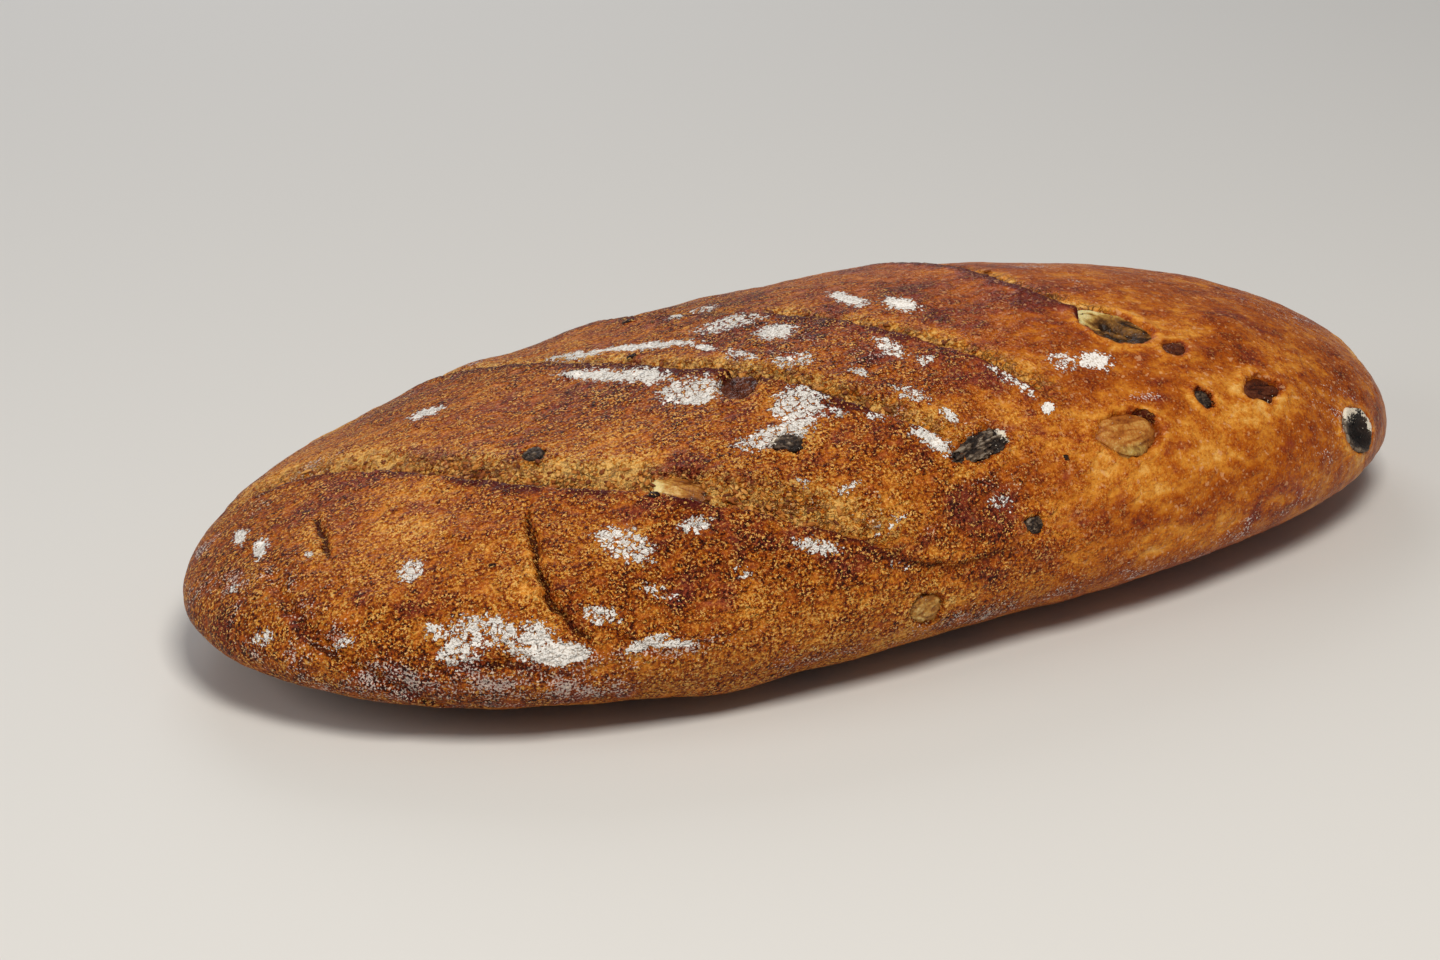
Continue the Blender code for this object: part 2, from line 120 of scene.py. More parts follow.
def plain_form(share, turn):
    """Points for shares from -1 to 1 along the loaf and turns round it: 0 back, pi/2 crest, pi front."""
    plan = np.sqrt(np.clip(1 - np.abs(share) ** PLAN_FULLNESS, 0, 1))
    plan = plan * (1 + PLAN_TAPER * share * (1 - share ** 2))
    rise = np.sqrt(np.clip(1 - gable(share), 0, 1))
    waist = WAIST - TIP_DROP * share ** 2
    top = HEIGHT * (1 + CREST_TAPER * share)
    cos, sin = np.cos(turn), np.sin(turn)
    power = 2 / np.where(sin > 0, UPPER_SQUARENESS, LOWER_SQUARENESS)
    y = WIDTH / 2 * plan * np.sign(cos) * np.abs(cos) ** power
    up = (top - waist) * rise * np.abs(sin) ** power
    down = waist * SAG * plan * np.abs(sin) ** power
    z = waist + np.where(sin > 0, up, -down)
    return np.stack(np.broadcast_arrays(LENGTH / 2 * share, y, z), -1)


def crust(share, turn):
    """Points of the plain form, with the directions along it, down its front and straight out."""
    step = 1e-4
    along = unit(plain_form(share + step, turn) - plain_form(share - step, turn))
    down = unit(plain_form(share, turn + step) - plain_form(share, turn - step))
    return plain_form(share, turn), along, down, unit(np.cross(down, along))


def crust_at(place):
    """The same for a place (along, lean): millimetres from the middle, degrees from the crest.

    A lean of 90 is the front side and -90 the back.
    """
    along_mm, lean = np.moveaxis(np.asarray(place, float), -1, 0)
    return crust(along_mm * MM / (LENGTH / 2), np.radians(90 + lean))


# %% [markdown]
# ## An even grid
# Rows and columns at even steps of share and turn would crowd at the tips and stretch over the
# crest. A grid that is even along the surface gives each millimetre of crust the same detail, so
# the steps are taken along the outline's length. The underside lies flat on the tray and shows
# least, so it gets fewer columns.

# %% Lay out the grid
ROWS = 560
COLUMNS = 340
UNDERSIDE = 0.3               # how close its columns stand, against 1 on the crust


def even_steps(value, points, weight, count):
    """Values at count + 1 even steps of length along a line of points."""
    length = np.linalg.norm(np.diff(points, axis=0), axis=1) * weight
    length = np.concatenate([[0], length.cumsum()])
    return np.interp(np.linspace(0, length[-1], count + 1), length, value)


fine_share = np.sin(np.linspace(-math.pi / 2, math.pi / 2, 4001))
fine_turn = np.linspace(-math.pi / 2, 1.5 * math.pi, 4001)
section = plain_form(np.zeros(4001), fine_turn)
share_steps = even_steps(fine_share, plain_form(fine_share, np.zeros(4001)), 1.0, ROWS)[1:-1]
turn_steps = even_steps(fine_turn, section, np.where(section[1:, 2] > 0, 1.0, UNDERSIDE), COLUMNS)[:-1]
point, _, _, out = crust(share_steps[:, None] + 0 * turn_steps, turn_steps + 0 * share_steps[:, None])
grid_size = point.shape[:2]
point = point.reshape(-1, 3)
out = out.reshape(-1, 3)
print("grid:", grid_size, "points")

# %% [markdown]
# ## What happened to the dough
# Four slashes run from the back over the crest to the front. As the loaf rose, the dough on the
# near side of each slash swelled to a lip, and the cut pulled open to a torn bed. Where the dough
# was rolled up and its ends were tucked in, it keeps shallow folds. A few cracks opened late.
# Each is a smooth line through a few places on the crust. A place is given as millimetres from the
# loaf's middle and degrees from its crest. Width, depth, the lip's height and its reach, which is
# how far back it swells, are in millimetres. A swelling is a place, a size and a height.

# %% Places of slashes, folds, cracks and swellings
SLASHES = [
    dict(places=[(-128, -42), (-108, -11), (-86, 20), (-60, 40), (-36, 59), (-14, 77)],
         width=12.0, depth=2.3, lip=1.5, reach=11.0, browned=0.5),
    dict(places=[(-79, -54), (-63, -26), (-44, 0), (-28, 15), (-8, 38), (6, 51)],
         width=8.5, depth=2.1, lip=1.9, reach=11.0, browned=0.7),
    dict(places=[(-37, -50), (-20, -14), (3, 10), (21, 30), (32, 45)],
         width=8.0, depth=2.1, lip=1.8, reach=11.0, browned=1.0),
    dict(places=[(26, -50), (41, -13), (47, 4), (56, 17), (60, 25)],
         width=9.0, depth=2.0, lip=1.6, reach=11.0, browned=1.0),
]
FOLDS = [
    dict(places=[(-131, 6), (-134, 36), (-131, 73), (-121, 103), (-108, 124)],
         width=4.5, depth=0.9, lip=0.7, reach=6.0),
    dict(places=[(-114, 92), (-100, 87), (-92, 97)], width=3.0, depth=0.7, lip=0.5, reach=5.0),
    dict(places=[(14, 79), (0, 81), (-13, 77), (-24, 69)], width=5.5, depth=0.7, lip=0.7, reach=5.0),
    dict(places=[(-82, 75), (-77, 83), (-72, 91)], width=2.5, depth=0.7, lip=0.4, reach=4.0),
    dict(places=[(-124, -60), (-60, -84), (30, -80), (96, -66)],
         width=5.0, depth=1.0, lip=0.8, reach=9.0),
    dict(places=[(133, -20), (135, 20), (130, 60)], width=3.0, depth=0.5, lip=0.5, reach=5.0),
]
CRACKS = [
    dict(places=[(-84, 31), (-87, 42), (-89, 56), (-88, 68), (-84, 80)], width=1.8, depth=1.8),
    dict(places=[(-118, 2), (-120, 12), (-121, 22)], width=1.8, depth=0.9),
    dict(places=[(66, -72), (70, -84), (69, -95)], width=2.2, depth=1.2),
]
SWELLINGS = [
    ((-63, -44), (20, 16), 1.6),
    ((-40, -38), (18, 12), 0.8),
    ((-14, 71), (9, 5), 1.1),
    ((-118, 48), (10, 8), 0.8),
    ((-59, -5), (8, 6), -0.5),
    ((-54, 118), (26, 9), 1.6),
    ((62, 108), (22, 9), 0.9),
    ((92, 24), (14, 10), 0.7),
    ((78, 40), (16, 7), -0.7),
    ((-58, 44), (9, 4), 0.6),
    ((-90, 62), (22, 14), 0.7),
    ((20, -62), (30, 18), 0.9),
]


# %% Measure a line on the crust
def smooth_line(places):
    """A smooth line on the crust through the places: points, forward, sideways and share along."""
    ends = np.array([places[0], *places, places[-1]], float)
    share = np.linspace(0, 1, 24, endpoint=False)[:, None]
    bits = []
    for a, b, c, d in zip(ends, ends[1:], ends[2:], ends[3:]):
        bend = 2 * b + (c - a) * share + (2 * a - 5 * b + 4 * c - d) * share ** 2
        bits.append(0.5 * (bend + (3 * b - a - 3 * c + d) * share ** 3))
    line, _, _, up = crust_at(np.vstack([*bits, ends[-1:]]))
    forward = unit(np.gradient(line, axis=0))
    return line, forward, np.cross(up, forward), np.linspace(0, 1, len(line))


def across(points, places):
    """How far each point lies sideways of a line, and how strong the line is there, 0 to 1."""
    line, forward, sideways, share = smooth_line(places)
    middle = (line.min(0) + line.max(0)) / 2
    near_box = (np.abs(points - middle) < np.ptp(line, axis=0) / 2 + 45 * MM).all(1)
    offset, strength = np.full(len(points), 99 * MM), np.zeros(len(points))
    some = points[near_box]
    square = (some ** 2).sum(1)[:, None] - 2 * some @ line.T + (line ** 2).sum(1)
    nearest = square.argmin(1)
    gap = some - line[nearest]
    beyond = np.abs((gap * forward[nearest]).sum(1))
    away = np.sqrt(np.maximum(square.min(1), 0))
    taper = np.sin(math.pi * np.clip(share[nearest], 0.02, 0.98)) ** 0.5
    near = fade(away, 30 * MM, 12 * MM)
    offset[near_box] = (gap * sideways[nearest]).sum(1)
    strength[near_box] = taper * bell(beyond, 0, 2.5 * MM) * near
    return offset, strength


def spread_from(points, place, size, turn=0.0, power=2.0):
    """Distance from a place, as 1 on the edge of an ellipse of that size, and the angle round it.

    turn is the angle of the ellipse's long side, from the loaf's length towards its front. The angle
    round it is in degrees, from its long side towards the back. A power below 2 gives a lens with
    pointed ends.
    """
    centre, along, down, up = crust_at(place)
    long = along * math.cos(math.radians(turn)) + down * math.sin(math.radians(turn))
    gap = points - centre
    right, back = gap @ long, gap @ np.cross(up, long)
    spread = (np.abs(right / (size[0] / 2 * MM)) ** power
              + np.abs(back / (size[1] / 2 * MM)) ** power) ** (1 / power)
    return np.where(np.abs(gap @ up) < 15 * MM, spread, 99), np.degrees(np.arctan2(back, right))


def towards(angle, side, breadth):
    """1 where an angle in degrees points to a side, and 0 well away from it."""
    off = (angle - side + 180) % 360 - 180
    return bell(off, 0, breadth)


def waves(points, size, shift=0.0):
    """Even noise of the given size, between about -1 and 1."""
    offset = Vector((shift, shift * 0.7, shift * 1.3))
    return np.array([noise.noise(Vector(p) / size + offset) for p in points])


# %% [markdown]
# ## The relief
# Each feature adds a height to the grid. While it does, it also leaves a mark, a number from 0 to
# 1 at each point, that says how much of it is there: torn bed, lip, and the painted shade in
# grooves, hollows and gaps. The crust material later reads these marks, so its colours sit exactly
# on the shape. A mark is only as sharp as the grid, so each point also keeps its distance from the
# nearest cut, crack and olive. From that the material can draw a line much finer than the grid. A
# torn bed is not smooth, so noise of two sizes roughens it, and small hollows open at the foot of
# the lip.

# %% Add the relief and keep the marks
WAVES = [(34 * MM, 0.45 * MM), (13 * MM, 0.35 * MM), (6 * MM, 0.14 * MM)]
BLISTERS = (2.3 * MM, 0.12 * MM)    # size and height of the pimples all over the crust
SLASH_WALL = 1.6 * MM         # how soon the lip drops to the bed
FOLD_FOOT = 0.9 * MM          # how far from a fold's edge its groove lies
CRACK_SIDES = (0.35, 1.8)     # how high a crack's sides swell, and how far out, for its depth and width
CRACK_WANDER = 1.1            # how far a crack strays, against a torn edge
EDGE_WANDER = (0.9 * MM, 0.5 * MM)  # how far a torn edge strays, in long and in short waves
CRUMB = (0.85 * MM, 0.50 * MM)      # roughness of a torn bed, coarse and fine
HOLE = 0.9 * MM               # depth of the small hollows at the lip's foot
FOOT = (2.2 * MM, 1.6 * MM)   # how far from the edge they lie, and how far they spread

ripple = waves(point, 5 * MM, 7.7)
quiver = waves(point, 1.9 * MM, 2.4)
wander = EDGE_WANDER[0] * ripple + EDGE_WANDER[1] * quiver
crumb = CRUMB[0] * waves(point, 2.6 * MM, 3.1) + CRUMB[1] * waves(point, 1.3 * MM, 5.3)
# where hollows open at the foot of a lip, and where its dark line isn't broken off
holes = smooth_step((waves(point, 3.4 * MM, 9.2) - 0.12) / 0.25)
broken = smooth_step((waves(point, 11 * MM, 1.9) + 0.35) / 0.5)
marks = {name: np.zeros(len(point)) for name in ("torn", "lip", "groove", "browned", "golden",
                                                 "flour", "paste", "dust", "spot", "smooth")}
FAR = 9.0                     # a distance in millimetres at which a line no longer counts
WEAK = 4                      # how many millimetres further off the weakest line counts
for name in ("cut_gap", "crack_gap", "olive_gap"):
    marks[name] = np.full(len(point), FAR)


def mark(name, value):
    """Keep the stronger of a mark and a new value."""
    marks[name] = np.maximum(marks[name], np.clip(value, 0, 1))


def measure(name, gap, strength):
    """Keep the nearest distance, in millimetres. Where a line is weak it counts as further off."""
    gap = gap / MM + np.where(gap < 0, -WEAK, WEAK) * (1 - strength)
    marks[name] = np.where(np.abs(gap) < np.abs(marks[name]), gap, marks[name])


def step_relief(line):
    """A slash or a fold: a swelling lip, a drop, and a bed that climbs back."""
    offset, strength = across(point, line["places"])
    offset = offset + wander
    width, depth = line["width"] * MM, line["depth"] * MM
    swell = line["lip"] * MM * np.exp(np.minimum(offset, 0) / (line["reach"] * MM))
    wall = smooth_step(offset / SLASH_WALL)
    bed = -depth * fade(offset, SLASH_WALL, width - SLASH_WALL)
    return offset, strength, strength * (swell * (1 - wall) + bed * wall)


print("marks:", ", ".join(marks))

# %% Raise the slashes, folds, cracks and swellings
height = sum(size * waves(point, length, number) for number, (length, size) in enumerate(WAVES))
height = height + BLISTERS[1] * waves(point, BLISTERS[0], 11.0)
for slash in SLASHES:
    offset, strength, step = step_relief(slash)
    width = slash["width"] * MM
    wall = smooth_step(offset / SLASH_WALL)
    torn = strength * wall * fade(offset, 0.4 * width, 0.75 * width)
    foot = strength * bell(offset, *FOOT)
    height = height + step + torn * crumb - HOLE * foot * holes
    mark("torn", torn)
    mark("golden", strength * wall * fade(offset, 0.8 * width, 0.6 * width))
    # the hollows at the lip's foot are darkened as painted shade
    mark("groove", 0.85 * foot * holes)
    mark("lip", strength * broken * bell(offset, -0.6 * MM, 1.5 * MM))
    measure("cut_gap", offset, strength)
    behind = np.exp(np.minimum(offset, 0) / (slash["reach"] * MM))
    mark("browned", slash["browned"] * strength * (1 - wall) * behind)
for fold in FOLDS:
    offset, strength, step = step_relief(fold)
    height = height + step
    # the fold's foot is darkened as painted shade
    mark("groove", 0.4 * strength * bell(offset, FOLD_FOOT, 0.7 * MM))
    mark("golden", 0.6 * strength * bell(offset, -1.2 * MM, 1.2 * MM))
    measure("crack_gap", np.abs(offset - FOLD_FOOT), strength * broken)
for crack in CRACKS:
    offset, strength = across(point, crack["places"])
    aside = np.abs(offset + CRACK_WANDER * wander)
    spread = aside / (crack["width"] * MM / 2)
    sides = CRACK_SIDES[0] * bell(spread, CRACK_SIDES[1], 1)
    height = height + strength * crack["depth"] * MM * (sides - bell(spread, 0, 1))
    # the crack's middle is darkened as painted shade
    mark("groove", 0.2 * strength * np.exp(-(spread / 0.9) ** 4))
    mark("golden", strength * bell(offset, -1.9 * MM, 1.3 * MM))
    measure("crack_gap", aside, smooth_step(3 * strength))
for place, size, rise in SWELLINGS:
    height = height + rise * MM * bell(spread_from(point, place, size)[0], 0, 1)
print("relief:", round(height.min() / MM, 2), "to", round(height.max() / MM, 2), "mm")

# %% [markdown]
# ## Pieces of olive
# The baker folded stoned olives into the dough. Some ended in the skin, whole, cut open or
# scorched, and each one stretched the dough round it to a thin golden rim. The crust dips under a
# piece, so that the piece sits in it rather than on it. The list says for each piece:
#
# - place, size and turn: where it lies, how large it is, and how its long side turns to the front
# - stand, sunk and pit: how far it stands up, how far the crust dips, how deep its stone's hollow is
# - kind, and pale_side and floury: its flesh, and the angles at which it is paler or floury
# - seam and gap: how much painted shade darkens the crack round it, and at which angle it gapes, and how far
# - veil and bare_side: how much of it a skin of dough covers, and the angle at which none does
# - power, folded, scrap and tattered: below 2 its ends are pointed, how deep its creases are and
#   how much painted shade darkens them, and how ragged it and the dough's edge over it are

# %% Places of the olives
OLIVES = dict(
    olive_far_top=dict(place=(62, 22), size=(18.5, 14.5, 8.0), turn=28, stand=0.9, sunk=1.0, pit=1.6,
                       kind="green", pale_side=150, seam=0.4, gap=(-120, 0.6), power=1.7, folded=1.0),
    olive_far_top_chip=dict(place=(72, 32.8), size=(6.5, 5.0, 5.0), turn=-10, stand=0.6, sunk=0.6,
                            kind="ripe", seam=0.6),
    olive_far_side=dict(place=(46, 57), size=(16.0, 10.5, 7.0), turn=2, stand=0.5, sunk=0.1,
                        kind="green", seam=0.0, gap=(30, 1.7), veil=0.85, bare_side=-85, power=1.7),
    olive_far_dark=dict(place=(89, 50), size=(13.5, 8.0, 6.0), turn=0, stand=0.0, sunk=0.9,
                        kind="ripe", seam=0.5, power=1.35, folded=0.6),
    olive_far_small=dict(place=(71, 50), size=(4.8, 5.0, 4.0), turn=0, stand=0.2, sunk=0.4,
                         kind="scorched", seam=0.9),
    olive_far_tip=dict(place=(116.5, 74), size=(13.5, 10.0, 8.0), turn=12, stand=0.8, sunk=0.6,
                       pit=1.3, kind="scorched", seam=0.4, floury=(125, 20)),
    olive_charred=dict(place=(10.5, 52), size=(15.0, 6.0, 6.0), turn=-12, stand=0.7, sunk=0.2,
                       kind="scorched", seam=0.2, scrap=1.6, floury=(0,), tattered=1.5),
    olive_crest=dict(place=(-30, 17.5), size=(11.0, 8.5, 6.0), turn=-32, stand=0.2, sunk=1.0,
                     kind="ripe", seam=0.6, gap=(40, 1.4), scrap=1.0, tattered=1.8),
    olive_slash_small=dict(place=(-75, 13.5), size=(5.0, 4.6, 4.0), turn=10, stand=0.6, sunk=0.2,
                           kind="scorched", seam=0.4, scrap=0.8),
    olive_floury=dict(place=(-29, 36.5), size=(7.0, 4.6, 4.4), turn=20, stand=0.4, sunk=0.1,
                      kind="scorched", seam=0.1, scrap=0.8, floury=(150,), tattered=1.8),
    olive_pale=dict(place=(-54.5, 38), size=(12.5, 8.0, 6.0), turn=42, stand=0.7, sunk=0.2,
                    kind="green", pale_side=192, seam=0.0, scrap=0.4, veil=0.5, bare_side=200),
    olive_front_small=dict(place=(17, 76.5), size=(4.8, 3.8, 3.6), turn=0, stand=0.4, sunk=0.2,
                           kind="scorched", seam=0.3, scrap=1.0, tattered=1.8),
    olive_front_low=dict(place=(-10.5, 94.5), size=(8.0, 7.0, 5.0), turn=0, stand=0.4, sunk=0.5,
                         kind="green", seam=0.6, scrap=0.5, veil=0.4),
    olive_back_left=dict(place=(-92, -60), size=(12.0, 8.5, 6.5), turn=25, stand=0.6, sunk=0.6,
                         kind="ripe", seam=0.5, gap=(-60, 0.9)),
    olive_back_middle=dict(place=(-8, -72), size=(13.5, 9.5, 7.0), turn=-15, stand=0.8, sunk=0.8,
                           pit=1.5, kind="green", pale_side=60, seam=0.4),
    olive_back_right=dict(place=(88, -56), size=(11.0, 7.5, 6.0), turn=8, stand=0.6, sunk=0.5,
                          kind="ripe", seam=0.4, scrap=0.4, power=1.6),
    olive_back_small=dict(place=(44, -46), size=(6.0, 5.0, 4.2), turn=0, stand=0.5, sunk=0.3,
                          kind="scorched", seam=0.4, scrap=0.7),
    olive_back_low=dict(place=(38, -92), size=(8.0, 6.0, 5.0), turn=-20, stand=0.5, sunk=0.3,
                        kind="ripe", seam=0.4, veil=0.4),
)
OLIVE_DIP = (0.45, 1.2)       # the dip's slope begins and ends at these shares of the olive's size
OLIVE_RIM = 0.3 * MM          # height of the crust's rim round that dip
UNDER_OLIVE = 2.0 * MM        # how much deeper the crust goes where an olive hides it
RAGGED = 0.9 * MM             # how far the torn edge of the dough strays over an olive
print("olives:", len(OLIVES), "places")

# %% Dip the crust for the olives
seats = {}
ragged = RAGGED * waves(point, 2.6 * MM, 4.4) + 0.5 * RAGGED * waves(point, 1.1 * MM, 6.6)
for name, olive in OLIVES.items():
    centre = crust_at(olive["place"])[0]
    seats[name] = height[np.linalg.norm(point - centre, axis=1).argmin()] - olive["sunk"] * MM
    edge, angle = spread_from(point, olive["place"], olive["size"], olive["turn"], olive.get("power", 2.0))
    beyond = (edge - 1) * min(olive["size"][:2]) / 2 * MM + ragged * olive.get("tattered", 1)
    seam = olive["seam"]
    if "gap" in olive:
        side = towards(angle, olive["gap"][0], 45)
        beyond = beyond - olive["gap"][1] * MM * side
        seam = np.maximum(seam, side)
    height = height - olive["sunk"] * MM * fade(edge, OLIVE_DIP[0], OLIVE_DIP[1] - OLIVE_DIP[0])
    height = height + OLIVE_RIM * bell(beyond, 0.9 * MM, 0.9 * MM)
    height = height - UNDER_OLIVE * fade(beyond, -0.9 * MM, 0.9 * MM)
    # the crack round the olive is darkened as painted shade
    mark("groove", seam * (0.9 - smooth_step((beyond + 0.1 * MM) / (0.5 * MM))))
    mark("golden", 0.9 * bell(beyond, 1.4 * MM, 1.4 * MM))
    measure("olive_gap", np.maximum(beyond, 0), seam)
print("crust under the olives:", round(height.min() / MM, 2), "mm at its lowest")

# %% [markdown]
# ## Golden, browned and floury places
# The oven browned the crest and the lips most, and left the stretched skin golden. Flour fell in
# patches: thick ones dried to a white paste that cracked as the crust grew under it, and thin
# dust lies along the shoulders and the foot; along the far rim the pale film is also painted sheen.
# Where the paste was thickest it stayed whole. Crumbs of olive no larger than a grain of rice are
# dark spots. Each patch is a place, a size, a turn and a strength from 0 to 1. The material breaks
# up their edges.

# %% Places of the colour patches
GOLDEN = [
    ((-97, 12), (22, 10), 35, 0.7), ((-106, 23), (18, 9), 10, 0.6), ((-123, 48), (7, 6), 0, 0.5),
    ((-133, 16), (9, 7), 60, 0.6), ((-93, 56), (9, 4.5), 80, 0.9), ((-89, 73), (9, 6), 60, 0.6),
    ((-60, 16), (12, 6), 40, 0.5), ((-44, 31), (14, 5), 35, 0.5), ((-67, 47), (10, 5), 20, 0.5),
    ((-30, 60), (24, 7), 20, 0.7), ((-52, 76), (14, 7), 0, 0.5), ((-13, 52), (10, 7), 20, 0.5),
    ((-28, 23), (10, 7), 20, 0.6), ((-36, 4), (14, 5), 35, 0.6), ((45, 51), (26, 12), 0, 0.7),
    ((74, 25), (16, 9), 20, 0.7), ((99, 40), (12, 14), 80, 0.8), ((79, 58), (44, 10), -5, 0.9),
    ((64, 68), (30, 8), 0, 0.8), ((45, 71), (26, 9), 5, 0.9), ((27, 53), (22, 9), 40, 0.8),
    ((77, 45), (30, 5), 20, 0.6), ((21, 78), (16, 9), 0, 0.8), ((66, 92), (60, 9), 0, 0.6),
    ((16, 92), (50, 10), 0, 0.5), ((-30, 92), (40, 9), 0, 0.4), ((-117, 34), (16, 8), 30, 0.5),
    ((-40, -70), (40, 14), 0, 0.6), ((60, -80), (50, 14), 5, 0.6), ((-100, -85), (30, 12), 0, 0.6),
    ((100, -30), (30, 14), 0, 0.5), ((20, -35), (20, 8), 40, 0.5),
]
BROWNED = [
    ((-105, -1), (20, 7), 35, 0.6), ((-132, 56), (10, 6), 60, 0.7), ((-120, 46), (6, 5), 0, 0.6),
    ((-101, 98), (60, 14), 0, 0.6), ((-111, 57), (10, 6), 0, 0.4), ((-144, 10), (14, 60), 0, 0.4),
    ((-48, 35), (22, 9), 38, 0.7), ((-17, 40), (12, 8), 30, 0.6), ((-9, 47), (16, 10), 40, 0.7),
    ((-17, 4), (24, 10), 35, 0.6), ((-6, 9), (22, 9), 40, 0.6), ((14, 28), (20, 12), 45, 0.7),
    ((2, 34), (16, 9), 40, 0.5), ((-63, 67), (22, 10), 10, 0.5), ((-15, 75), (14, 6), 0, 0.8),
    ((4, 68), (18, 10), 20, 0.8), ((-71, 34), (10, 5), 25, 0.6), ((-60, 43), (12, 4), 30, 0.9),
    ((99, 21), (14, 8), 25, 0.7), ((46, 11), (26, 12), 40, 0.8), ((10, 68), (14, 9), 30, 0.6),
    ((20, 34), (18, 10), 45, 0.6), ((104, 46), (7, 6), 0, 0.5), ((64, 37), (20, 7), 10, 0.4),
    ((84, 35), (20, 6), 10, 0.4), ((85, 91), (22, 10), 0, 0.5), ((28, 12), (26, 16), 40, 0.5),
    ((-30, -30), (40, 20), 30, 0.5), ((30, -20), (30, 16), 30, 0.5), ((-84, -40), (30, 18), 30, 0.4),
    ((70, -40), (34, 20), 10, 0.4),
]
FLOUR = [
    ((-131, -16), (8, 4), -67, 0.7), ((-130, 0), (8, 3.4), -62, 0.7), ((-84, -20), (8, 5.4), 12, 0.7),
    ((-110, 39), (4.9, 4.4), -34, 0.85), ((-102, 69), (15, 7), 15, 0.8), ((-95, 75), (10, 7), 5, 0.85),
    ((-108, 77), (9, 5.4), -12, 0.7), ((-81, 70), (8, 3.4), 20, 0.8), ((-111, 66), (5, 4), 30, 0.6),
    ((-50, -19), (17, 5.4), 42, 0.8), ((-37, -10), (22.5, 4.2), 42, 0.8), ((-13, 4), (9, 7), 25, 0.8),
    ((-51, -2), (19.5, 5), 55, 0.75), ((-45, 4), (12, 6), 50, 0.8), ((10, -4), (13, 5), 80, 0.8),
    ((18, 4), (9, 6.6), 64, 0.8), ((0, 48), (11, 4.4), 53, 0.7), ((49, 34), (9, 6), 10, 0.8),
    ((-138, 63), (4.3, 2.6), -20, 0.55), ((-127, 68), (4.6, 2), -17, 0.7), ((-124, 17), (2.8, 1.6), -78, 0.7),
    ((-138, 16), (4, 2.6), 43, 0.5), ((-19, -5), (14, 6), 19, 0.9), ((-24, 8), (8.4, 5), 76, 0.6),
    ((-16, 15), (9.6, 5.5), 13, 0.65), ((-39, 14), (13, 8.6), 20, 1.0), ((-22, 29), (11.5, 10.4), -15, 1.0),
    ((-31, 34), (15.7, 5.2), 5, 1.0), ((5, 20), (8.3, 4.2), 71, 0.85), ((10, 26), (4, 3), -24, 0.7),
    ((-5, 24), (5, 2.7), 53, 0.7), ((-19, -20), (12.4, 6.4), -16, 0.9), ((2, 34), (7.7, 4.4), 47, 0.6),
    ((-16, 34), (4.7, 2.4), 42, 0.6), ((-9, 38), (4.7, 2.3), 41, 0.6), ((-31, 48), (3.8, 3), 48, 0.6),
    ((-22, 53), (6.5, 1.8), -8, 0.6), ((-56, 51), (6.6, 3.4), 5, 0.8), ((-71, 50), (12, 6.8), 51, 0.95),
    ((-34, 66), (9, 3.4), 22, 0.8), ((-17, 66), (9, 2.5), -14, 0.5), ((-17, 78), (5, 1.6), 18, 0.4),
    ((10, 68), (5.4, 4), 29, 0.45), ((-50, 68), (5, 2.5), 29, 0.4), ((-68, 67), (8, 3), 30, 0.4),
    ((41, 33), (7, 5.7), -20, 0.6), ((25, 37), (14, 2.6), 60, 0.5), ((-60, -62), (16, 7), 20, 0.8),
    ((14, -58), (14, 8), 30, 0.9), ((62, -38), (12, 6), 10, 0.7), ((104, -58), (9, 5), 0, 0.8),
    ((-106, -72), (9, 5), 0, 0.7), ((-26, -94), (20, 6), 0, 0.6), ((76, -96), (14, 5), 0, 0.6),
]
PASTE = [
    ((-131, -16), (6, 3.0), -67, 0.75), ((-130, 0), (6, 2.2), -62, 0.75), ((-84, -20), (6, 4), 12, 0.7),
    ((-90, 83), (11, 4.2), 4, 0.95), ((-50, -19), (15.5, 3.4), 42, 0.8), ((-37, -10), (24, 2.4), 42, 0.9),
    ((-28, 0), (7, 2.2), 64, 0.7), ((-13, 4), (7.7, 5.0), 25, 0.75), ((-51, -2), (21, 2.6), 55, 0.75),
    ((-45, 4), (9, 4), 50, 0.7), ((10, -4), (11, 3.2), 80, 0.75), ((18, 4), (7.6, 4.6), 64, 0.8),
    ((7, 42), (4.5, 2.6), 73, 0.7), ((0, 48), (8.5, 2.8), 53, 0.75), ((49, 34), (6.5, 4.4), 10, 0.85),
    ((30, 46), (3.6, 2.6), -39, 0.8), ((-73, 84), (9, 2.2), -10, 0.7), ((-39, 17), (6, 3.4), 20, 0.75),
    ((-68, 86), (10, 1.8), 8, 0.6), ((-94, 75), (7, 2.4), 10, 0.6),
]
SPOTS = [
    ((-31, -27), (3.0, 2.4), 0, 1.0), ((-55, -7), (3.6, 2.6), 20, 1.0), ((-41, -7), (2.4, 2.0), 0, 0.8),
    ((-61, 40), (2.6, 2.0), 30, 0.9), ((-96, 45), (1.6, 1.3), 0, 0.7), ((29, 60), (1.6, 1.2), 0, 0.7),
]
